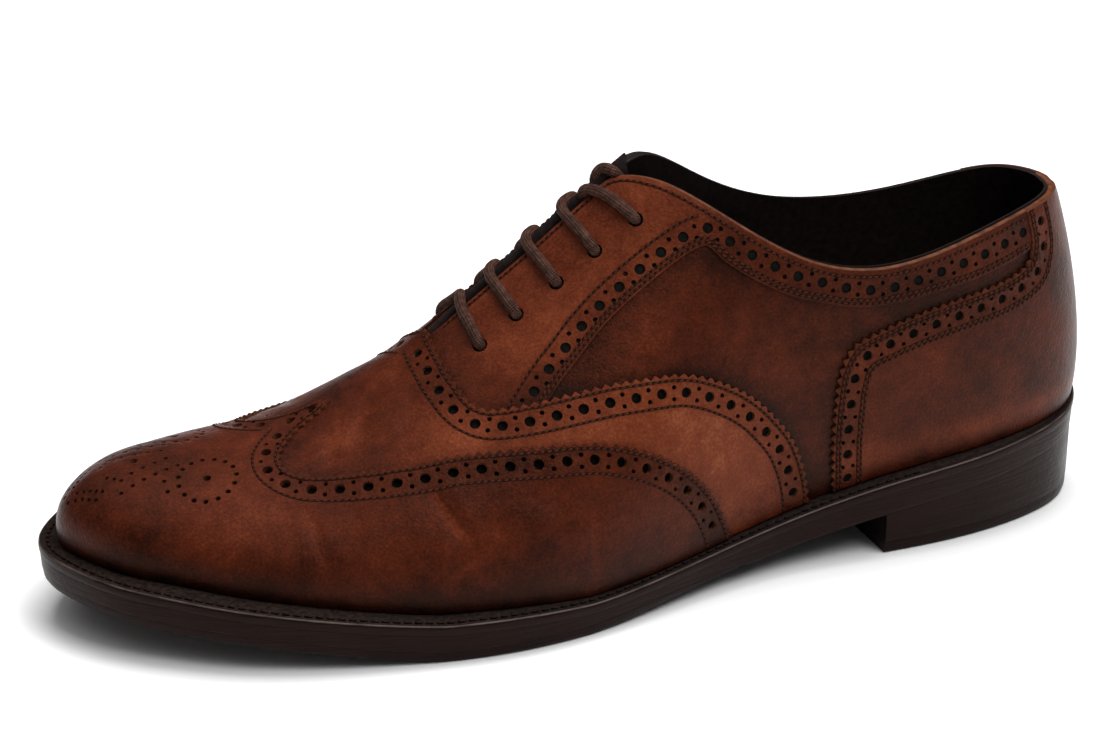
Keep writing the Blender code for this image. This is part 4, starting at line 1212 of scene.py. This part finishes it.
def medallion_holes():
    """The lateral half of the toe's pattern."""
    middle_x, middle_y, radius, count = (MEDALLION_RING[key] for key in ("x", "y", "radius", "count"))
    angles = 2 * np.pi * np.arange(count) / count
    xs = [middle_x, *(middle_x + radius * np.cos(angles))]
    ys = [middle_y, *(middle_y + radius * np.sin(angles))]
    sizes = [BIG_HOLE * MEDALLION_SHARE] + [PIN_HOLE] * count
    for run in MEDALLION_RUNS:
        row = dict(zip(MEDALLION_COLUMNS, run))
        xs += list(np.linspace(row["x0"], row["x1"], row["count"]))
        ys += list(np.linspace(row["y0"], row["y1"], row["count"]))
        sizes += [PIN_HOLE * RUN_SHARE] * row["count"]
    return list(zip(on_plan(np.array(xs), np.array(ys)), sizes))


def all_punched(place, lines):
    return [hole for line in lines for hole in punched_row(place, line)]


def make_panel(node, place, outline, holes, top, tone):
    """An overlay with raw cut edges, named for its node."""
    holes = clear_holes(place, holes, outline)
    leather_piece(f"{node}_leather", place, outline, holes, (LAYER_FOOT, top), tone, (LEATHER, RAW_EDGE),
                  (node,))


def make_panels():
    medallion = medallion_holes()
    holes = all_punched(front_place, WING_STRIPS) + medallion
    holes += [(mirror_front(centre), radius) for centre, radius in medallion]
    holes += [(centre, BIG_HOLE) for centre in PEAK_HOLES] + [(centre, SMALL_HOLE) for centre in PEAK_PAIR]
    make_panel("wing_cap", front_place, wing_outline(), holes, WING_TOP, wing_tone)
    holes = all_punched(front_place, VAMP_STRIPS)
    make_panel("vamp", front_place, vamp_outline(), holes, VAMP_TOP, vamp_tone)
    make_facings()
    holes = all_punched(heel_place, COUNTER_STRIPS)
    make_panel("counter", heel_place, counter_outline(), holes, COUNTER_TOP, counter_tone)


def make_facings():
    sides = zip(("lateral", "medial"), both_sides(FACING_LINE, front_place), FACING_STRIPS)
    for name, (rows, side), line in sides:
        outline = facing_outline(rows, side)
        holes = clear_holes(front_place, punched_row(front_place, line), outline)
        eyelets = np.array(EYELETS) if side > 0 else mirror_front(EYELETS)
        holes += [(place, EYELET_RADIUS) for place in eyelets]
        leather_piece(f"facing_{name}_leather", front_place, outline, holes, (LAYER_FOOT, FACING_TOP),
                      facing_tone, (LEATHER, DARK_CUT), (f"facing_{name}",))


def shell_outline(spacing, below):
    """Front chart outline of the whole upper, joined at the heel's back and at the toe."""
    ribs = np.concatenate([np.arange(0, 1.4, 0.06), TOP_RIBS, [8.5]])
    lateral_top = evened(front_place, top_line(ribs, 1.0, below), spacing)
    medial_top = evened(front_place, top_line(ribs, -1.0, below), spacing)
    heel_top = lateral_top[0, 1]
    lateral_top[0] = (0.0, heel_top)
    medial_top[0] = (0.0, 2 - heel_top)
    toe = side_run((TOE_RIB, 0.0), (TOE_RIB, NEAR_RIDGE), spacing)
    foot = side_run((0.0, 0.0), (TOE_RIB, 0.0), spacing)
    heel = side_run((0.0, heel_top), (0.0, 0.0), spacing)
    half = np.concatenate([heel, foot, toe])
    throat = [(THROAT_RIB, 1.0)]
    return np.concatenate([half, mirror_front(half[1:])[::-1], medial_top, throat, lateral_top[:0:-1]])


def make_upper():
    eyelets = [(place, EYELET_RADIUS) for rows, _ in both_sides(EYELETS, front_place) for place in rows]
    front_lines = [*WING_STRIPS, *VAMP_STRIPS, *FACING_STRIPS]
    under_holes = [bare(front_place, evened(front_place, line, LINE_STEP)) for line in front_lines]
    under_holes += [bare(heel_place, evened(heel_place, line, LINE_STEP)) for line in COUNTER_STRIPS]
    under_holes = np.concatenate(under_holes)

    # The upper's top under the punched rows and the medallion takes the painted hole shade
    def is_hole_shade(centres):
        return (nearest_to(centres, under_holes) < HOLE_SHADE_REACH) | (centres[:, 0] > MEDALLION_START)

    leather_piece("upper_shell", front_place, shell_outline(SHELL_STEP, 0.0), eyelets, (-QUARTER_THICK, 0.0),
                  quarter_tone, (LEATHER, RAW_EDGE, HOLE_SHADE), ("upper",),
                  spacing=SHELL_STEP, floor=is_hole_shade)
    leather_piece("lining", front_place, shell_outline(LINING_STEP, -LINING_RISE), eyelets,
                  (LINING_TOP - LINING_THICK, LINING_TOP), lambda rib, up, points: np.zeros(len(rib)),
                  (LINING, LINING), (), spacing=LINING_STEP)


def make_collar_beads():
    """The rolled top edge: worn tan on the lateral side and just past the heel's back, then black lining."""
    beads = (("collar_bead_near", -0.3, 6.95, BEAD, "facing_leather"),
             ("collar_bead_far", LOOP - 0.32, LOOP - 6.9, LINING, "tongue_leather"))
    for name, first, last, look, slot in beads:
        ribs = np.linspace(first, last, 170)
        ups = top_share(ribs)
        route = on_last(ribs % LOOP, ups) - outward(ribs % LOOP, ups) * BEAD_DEPTH - (0, 0, BEAD_DROP)
        points, faces, _ = tube(route, BEAD_RADIUS, 10)
        mesh_object(name, points, faces, (look,), sharp_angle=1.2)


def make_tongue():
    """A soft sheet under the facings, folded up into the lacing gap."""
    ribs = np.linspace(*TONGUE_RIBS, 50)
    ups = np.linspace(*TONGUE_UPS, 12)
    depth = WALL + TONGUE_DEPTH
    rows = []
    for rib in ribs:
        pair = (rib, LOOP - rib)
        lateral, medial = (on_last(side_rib, ups) - outward(side_rib, ups) * depth for side_rib in pair)
        fold = [on_last(rib, 1.0) + np.array(step) * MM for step in TONGUE_FOLD]
        rows.append(np.concatenate([lateral, fold, medial[::-1]]))
    top = np.array(rows)
    across = top.shape[1]
    bottom = top - (0, 0, TONGUE_THICK)
    points = np.concatenate([top.reshape(-1, 3), bottom.reshape(-1, 3)])
    sheet = np.array([(k * across + j, k * across + j + 1, (k + 1) * across + j + 1, (k + 1) * across + j)
                      for k in range(len(ribs) - 1) for j in range(across - 1)])
    count = len(ribs) * across
    loop = [*range(across), *range(2 * across - 1, count, across), *range(count - 2, count - across - 1, -1),
            *range(count - 2 * across, 0, -across)]
    steps = zip(loop, [*loop[1:], loop[0]])
    walls = [(here + count, there + count, there, here) for here, there in steps]
    faces = [*sheet, *(sheet[:, ::-1] + count), *walls]
    mesh_object("tongue_leather", points, faces, (LINING,), ("tongue",))


# Stitches

def stitch_runs():
    """Chart lines of the stitch rows on the upper, with their chart, panel outline and height."""
    runs = []
    front_panels = (
        (WING_LINE, wing_outline(), WING_SEAMS, WING_TOP),
        (VAMP_LINE, vamp_outline(), VAMP_SEAMS, VAMP_TOP),
    )
    for rows, outline, seams, top in front_panels:
        for side_rows, side in both_sides(rows, front_place):
            lines = [inner_row(side_rows, -inset * MM, side) for inset in seams]
            runs += [(front_place, line, outline, top) for line in lines]
    outline = counter_outline()
    for rows, side in both_sides(COUNTER_LINE, heel_place):
        lines = [counter_row(rows, side, inset * MM, tab_inset * MM) for inset, tab_inset in COUNTER_SEAMS]
        runs += [(heel_place, line, outline, COUNTER_TOP) for line in lines]
    for rows, side in both_sides(FACING_LINE, front_place):
        outline = facing_outline(rows, side)
        longer = np.concatenate([rows, np.array(FACING_REST) if side > 0 else mirror_front(FACING_REST)])
        lines = [inner_row(longer, inset * MM, side, first) for inset, first in FACING_SEAMS]
        ribs = TOP_RIBS[TOP_RIBS > TOP_SEAM_FIRST]
        lines.append(top_line(ribs, side, TOP_SEAM - TOP_SEAM_RISE * ramp(ribs, 6.3, 6.8)))
        runs += [(front_place, line, outline, FACING_TOP) for line in lines]
    return runs


def stitch_mesh(name, centres, along, normals, size, look):
    """One joined mesh of small rounded stitches of a length, width and height."""
    across = np.cross(normals, along)
    sides = STITCH_SIDES
    angles = np.arange(sides) * 2 * np.pi / sides
    template = [(-0.5, 0.0, 0.0)]
    template += [(end, np.cos(a) * 0.5, np.sin(a) * 0.5) for end in (-0.28, 0.28) for a in angles]
    template += [(0.5, 0.0, 0.0)]
    template = np.array(template) * size
    steps = [(1 + k, 1 + (k + 1) % sides) for k in range(sides)]
    faces = [(0, there, here) for here, there in steps]
    faces += [(here, there, there + sides, here + sides) for here, there in steps]
    faces += [(here + sides, there + sides, 1 + 2 * sides) for here, there in steps]
    points = centres[:, None] + template[None, :, :1] * along[:, None]
    points = points + template[None, :, 1:2] * across[:, None] + template[None, :, 2:] * normals[:, None]
    starts = range(0, len(centres) * len(template), len(template))
    all_faces = [tuple(corner + start for corner in face) for start in starts for face in faces]
    mesh_object(name, points.reshape(-1, 3), all_faces, (look,), sharp_angle=3.0)


def strips_mesh(name, strips, half_width, layer, look):
    """One joined mesh of flat strips, each from its points, across directions and normals."""
    points, faces, start = [], [], 0
    low, high = layer
    corners = [(-half_width, low), (half_width, low), (half_width, high), (-half_width, high)]
    for line, across, normals in strips:
        count = len(line)
        points += [line + across * side + normals * height for side, height in corners]
        for j in range(4):
            here, there = start + j * count, start + (j + 1) % 4 * count
            faces += [(here + k, there + k, there + k + 1, here + k + 1) for k in range(count - 1)]
        faces += [tuple(start + j * count for j in (3, 2, 1, 0)),
                  tuple(start + j * count + count - 1 for j in range(4))]
        start += 4 * count
    mesh_object(name, np.concatenate(points), faces, (look,))


def make_stitching():
    """Rows of thread, each in its dark pressed groove."""
    centres, along, normals, grooves = [], [], [], []
    for place, line, outline, height in stitch_runs():
        line = evened(place, line[crossing_inside(line, outline)], STITCH_PITCH)
        rib, up = place(line)
        top = raised(place, line, np.full(len(line), height))
        run = unit(np.gradient(top, axis=0))
        out = outward(rib, up)
        across = unit(np.cross(out, run))
        grooves.append((top, across, out))
        twisted = unit(run + across * STITCH_TWIST)
        lifted = top + out * STITCH_RISE
        centres.append((lifted[1:] + lifted[:-1]) / 2)
        along.append(twisted[1:])
        normals.append(out[1:])
    strips_mesh("stitch_grooves", grooves, GROOVE_HALF, GROOVE_LAYER, GROOVE)
    stitch_mesh("upper_stitching", np.concatenate(centres), np.concatenate(along), np.concatenate(normals),
                STITCH_SIZE, THREAD)


def make_welt_stitching():
    ribs = np.linspace(WELT_STITCH_RIB, LOOP - WELT_STITCH_RIB, 2000)
    x, y = edge(ribs, WELT_STITCH_INSET)
    line = np.stack([x, y, seat(x) + WELT_STITCH_RISE], -1)
    reach = reach_along(line)
    at = np.arange(0, reach[-1], WELT_STITCH_PITCH)
    line = np.stack([np.interp(at, reach, line[:, k]) for k in range(3)], -1)
    middle = (line[1:] + line[:-1]) / 2
    upward = np.repeat([[0.0, 0.0, 1.0]], len(middle), 0)
    along = unit(np.diff(line, axis=0))
    stitch_mesh("welt_stitching", middle, along, upward, WELT_STITCH_SIZE, WELT_TOP)


# Sole

def slab(name, ribs, rings, look, node):
    """A solid between outline rings from bottom to top, with caps straight across, standing in for its node's
    part, which it hides.
    """
    points, faces = [], []
    count = len(ribs)
    for inset, height in rings:
        for side_ribs in (ribs, LOOP - ribs):
            x, y = edge(side_ribs, inset(side_ribs) if callable(inset) else inset)
            points.append(np.stack([x, y, height(x)], -1))
    points = np.concatenate(points)
    last = len(rings) - 1

    def at(ring_number, side, k):
        return ring_number * 2 * count + side * count + k

    for k in range(count - 1):
        faces.append((at(0, 0, k), at(0, 1, k), at(0, 1, k + 1), at(0, 0, k + 1)))
        faces.append((at(last, 0, k), at(last, 0, k + 1), at(last, 1, k + 1), at(last, 1, k)))
        for low in range(last):
            faces.append((at(low, 0, k), at(low, 0, k + 1), at(low + 1, 0, k + 1), at(low + 1, 0, k)))
            faces.append((at(low, 1, k), at(low + 1, 1, k), at(low + 1, 1, k + 1), at(low, 1, k + 1)))
    end = count - 1
    for low in range(last):
        faces.append((at(low, 0, 0), at(low + 1, 0, 0), at(low + 1, 1, 0), at(low, 1, 0)))
        faces.append((at(low, 0, end), at(low, 1, end), at(low + 1, 1, end), at(low + 1, 0, end)))
    triangles = [corners for a, b, c, d in faces for corners in ((a, b, c), (a, c, d))]
    first, triangles = welded(points, np.array(triangles))
    mesh_object(name, points[first], triangles[:, ::-1], (look,), (node,), sharp_angle=0.5)


def rib_at(x):
    ribs = np.linspace(0, TOE_RIB, 3001)
    return float(np.interp(x, edge_x(ribs), ribs))


def half_sole_thickness(x):
    share = ramp(x, HALF_SOLE_END_X, HALF_SOLE_END_X + HALF_SOLE_SKIVE)
    return HALF_SOLE_EDGE + (HALF_SOLE_THICK - HALF_SOLE_EDGE) * share


def outsole_bottom(x):
    covered = x > HALF_SOLE_END_X
    return underside(x) + np.where(covered, half_sole_thickness(x) + HALF_SOLE_JOINT, 0.0)


def outsole_top(x):
    return seat(x) - WELT_THICK - SOLE_JOINT


def between(low, high, share):
    return lambda x: low(x) + (high(x) - low(x)) * share


def flat(height):
    return lambda x: np.full(np.shape(x), height)


def edge_profile(low, high, rows):
    """Rings of a sole edge from rows of inset in millimetres and share of the height."""
    return [(inset * MM, between(low, high, share)) for inset, share in rows]


def make_sole():
    end = rib_at(HALF_SOLE_END_X)
    step = 0.004
    ribs = np.concatenate([np.linspace(0, end - step, 60), np.linspace(end + step, TOE_RIB, 110)])
    slab("outsole_edge", ribs, edge_profile(outsole_bottom, outsole_top, OUTSOLE_EDGE), SOLE_EDGE, "outsole")

    def half_top(x):
        return underside(x) + half_sole_thickness(x)
    first, second = (rib_at(HALF_SOLE_END_X + step) for step in HALF_SOLE_STEPS)
    ribs = np.concatenate([[first], np.linspace(second, TOE_RIB, 110)])
    slab("half_sole_rubber", ribs, edge_profile(underside, half_top, HALF_SOLE_SIDE), SOLE_EDGE, "half_sole")

    def heel_top(x):
        return underside(x) - SOLE_JOINT
    ribs = np.linspace(0, rib_at(HEEL_BREAST_X), 70)
    heel_low = flat(TOP_LIFT_THICK + SOLE_JOINT)
    slab("heel_stack", ribs, edge_profile(heel_low, heel_top, HEEL_EDGE), SOLE_EDGE, "heel")
    lift_rings = edge_profile(flat(0.0), flat(TOP_LIFT_THICK), LIFT_EDGE)
    slab("top_lift_rubber", ribs, lift_rings, SOLE_EDGE, "top_lift")

    def sock_inset(rib):
        return shelf(rib) + WALL + SOCK_INSET
    sock = ((sock_inset, lambda x: seat(x) - WELT_THICK), (sock_inset, lambda x: seat(x) + INSOLE_RISE))
    slab("insole_sock", np.linspace(0, TOE_RIB, 90), sock, LINING, "insole")


def make_welt():
    """The strip round the sole: a shelf with a stitched groove and a rounded lip, whose outer face takes a
    paler look as a painted highlight.
    """
    ribs = np.linspace(0, LOOP, 360, endpoint=False)
    inner = shelf(ribs) + WALL + WELT_INSET
    ledge = shelf(ribs) - WELT_LEDGE
    rows = [(inner, 0.0)]
    rows += [(np.minimum(ledge, inset * MM), depth) for inset, depth in WELT_SHELF]
    rows += [(np.minimum(inset * MM, inner), depth) for inset, depth in WELT_LIP_ROWS]
    rows.append((inner, WELT_THICK / MM))
    points = []
    for inset, depth in rows:
        x, y = edge(ribs, inset)
        points.append(np.stack([x, y, seat(x) - depth * MM], -1))
    count, sides = len(ribs), len(rows)
    faces = []
    for side in range(sides):
        here, there = side * count, (side + 1) % sides * count
        steps = [(k, (k + 1) % count) for k in range(count)]
        faces += [(here + k, here + after, there + after, there + k) for k, after in steps]
    looks_of_sides = [0] * WELT_HIGHLIGHT_SIDE + [2] + [1] * (sides - WELT_HIGHLIGHT_SIDE - 1)
    looks = (WELT_TOP, SOLE_EDGE, WELT_LIP_HIGHLIGHT)
    mesh_object("welt_strip", np.concatenate(points), faces, looks, ("welt",),
                sharp_angle=0.7, look_index=np.repeat(looks_of_sides, count))


# Laces

def smooth_route(points, count):
    """A curve through a route's points at even steps."""
    points = np.array(points)
    reach = reach_along(points)
    at = np.linspace(0, reach[-1], count)
    return np.stack([natural_spline(reach, points[:, k])(at) for k in range(3)], -1)


def tube(route, radius, sides):
    """Points, faces and braid values of a round cord along a route."""
    along = unit(np.gradient(route, axis=0))
    across = unit(np.cross(along, (0.3, 0.2, 1.0)))
    upward = np.cross(across, along)
    angles = np.arange(sides) * 2 * np.pi / sides - np.pi / 2
    cosines, sines = np.cos(angles)[None, :, None], np.sin(angles)[None, :, None]
    rings = route[:, None] + radius * (cosines * across[:, None] + sines * upward[:, None])
    count = len(route)
    faces = []
    for start in range(0, (count - 1) * sides, sides):
        steps = [(start + j, start + (j + 1) % sides) for j in range(sides)]
        faces += [(here, here + sides, there + sides, there) for here, there in steps]
    faces += [tuple(range(sides)), tuple(range((count - 1) * sides, count * sides))[::-1]]
    turns = np.arange(sides) * 2 * np.pi / sides * BRAID_THREADS
    values = np.repeat(reach_along(route) / BRAID_PITCH, sides), np.tile(turns, count)
    return rings.reshape(-1, 3), faces, values


def over_facing(rib, up, side, height):
    """A point above one side's facing."""
    side_rib = rib if side > 0 else LOOP - rib
    return on_last(side_rib, up) + outward(side_rib, up) * height


def half_bar(rib, up, forward, side):
    """A lace from inside its eyelet up over the facing towards the gap; the far half turns late and sinks."""
    bar = NEAR_BAR if side > 0 else FAR_BAR
    points = []
    for share, height in BAR_ROWS:
        point_rib = rib + forward * share ** bar["lateness"]
        point_up = up + (NEAR_RIDGE - up) * share
        points.append(over_facing(point_rib, point_up, side, height * (1 - bar["sink"] * share)))
    return points


def make_laces():
    points, faces, along, around = [], [], [], []

    def add(route, count=46):
        made, made_faces, (run, turn) = tube(smooth_route(route, count), LACE_RADIUS, LACE_SIDES)
        start = sum(len(block) for block in points)
        points.append(made)
        faces.extend(tuple(corner + start for corner in face) for face in made_faces)
        along.append(run)
        around.append(turn)

    for (rib, up), forward in zip(EYELETS, BAR_FORWARD_RIBS):
        middle = on_last(rib + forward, 1.0) + BAR_MIDDLE
        add([*half_bar(rib, up, forward, 1), middle, *half_bar(rib, up, forward, -1)[::-1]], 80)
    rib, up = EYELETS[-1]

    def past_eyelet(rows):
        return [over_facing(rib + past, *place) for past, *place in rows]

    tucked = on_last(rib + TUCKED_RIB, 1.0) + TUCKED
    add([*half_bar(rib, up, TOP_BAR_FORWARD, 1), *past_eyelet([TOP_BAR_END]), tucked])
    over_gap = on_last(rib + LOOP_RIB, 1.0) + LOOP_MIDDLE
    add([*past_eyelet(LOOP_START), over_gap, *past_eyelet(LOOP_END)])
    nodes = [f"lace_bar_{number}" for number in range(1, len(EYELETS) + 1)]
    mesh_object("lace_bars", np.concatenate(points), faces, (LACE,), nodes,
                {"along": np.concatenate(along), "around": np.concatenate(around)}, sharp_angle=1.2)


# Studio

def make_studio():
    data = bpy.data.meshes.new("floor")
    corners = [(x * FLOOR_HALF, y * FLOOR_HALF, 0) for x, y in ((-1, -1), (1, -1), (1, 1), (-1, 1))]
    data.from_pydata(corners, [], [(0, 1, 2, 3)])
    floor = bpy.data.objects.new("floor", data)
    bpy.context.collection.objects.link(floor)
    look, shader, _ = new_look("pale_floor")
    shader.inputs["Base Color"].default_value = (FLOOR_TONE, FLOOR_TONE, FLOOR_TONE, 1.0)
    shader.inputs["Roughness"].default_value = 0.9
    shader.inputs["Specular IOR Level"].default_value = 0.0
    data.materials.append(look)

    for name, place, size, power, in_gloss in SOFTBOXES:
        data = bpy.data.lights.new(name, "AREA")
        data.shape = "RECTANGLE"
        data.size, data.size_y = size
        data.energy = power
        lamp = bpy.data.objects.new(name, data)
        bpy.context.collection.objects.link(lamp)
        lamp.location = place
        lamp.rotation_euler = (Vector(SOFTBOX_TARGET) - Vector(place)).to_track_quat("-Z", "Y").to_euler()
        lamp.visible_glossy = in_gloss

    world = bpy.data.worlds.new("studio")
    bpy.context.scene.world = world
    world.use_nodes = True
    tree = world.node_tree
    direction = add_node(tree, "ShaderNodeTexCoord").outputs["Generated"]
    height = add_node(tree, "ShaderNodeSeparateXYZ")
    tree.links.new(direction, height.inputs[0])
    sky = colour_ramp(tree, height.outputs["Z"], [(position, (tone, tone, tone)) for position, tone in SKY])
    tree.links.new(sky, tree.nodes["Background"].inputs["Color"])
    tree.nodes["Background"].inputs["Strength"].default_value = 1.0
    bpy.context.scene.view_settings.view_transform = "Standard"


def make_camera():
    data = bpy.data.cameras.new("camera")
    data.sensor_fit = "HORIZONTAL"
    data.sensor_width = CAMERA_SENSOR
    data.lens = CAMERA_LENS
    camera = bpy.data.objects.new("camera", data)
    bpy.context.collection.objects.link(camera)
    place = Vector(np.array(CAMERA_PLACE) * MM + SHIFT)
    target = Vector(np.array(CAMERA_TARGET) * MM + SHIFT)
    camera.location = place
    camera.rotation_euler = (target - place).to_track_quat("-Z", "Y").to_euler()
    bpy.context.scene.camera = camera


make_camera()
make_studio()
make_upper()
make_panels()
make_tongue()
make_collar_beads()
make_stitching()
make_sole()
make_welt()
make_welt_stitching()
make_laces()
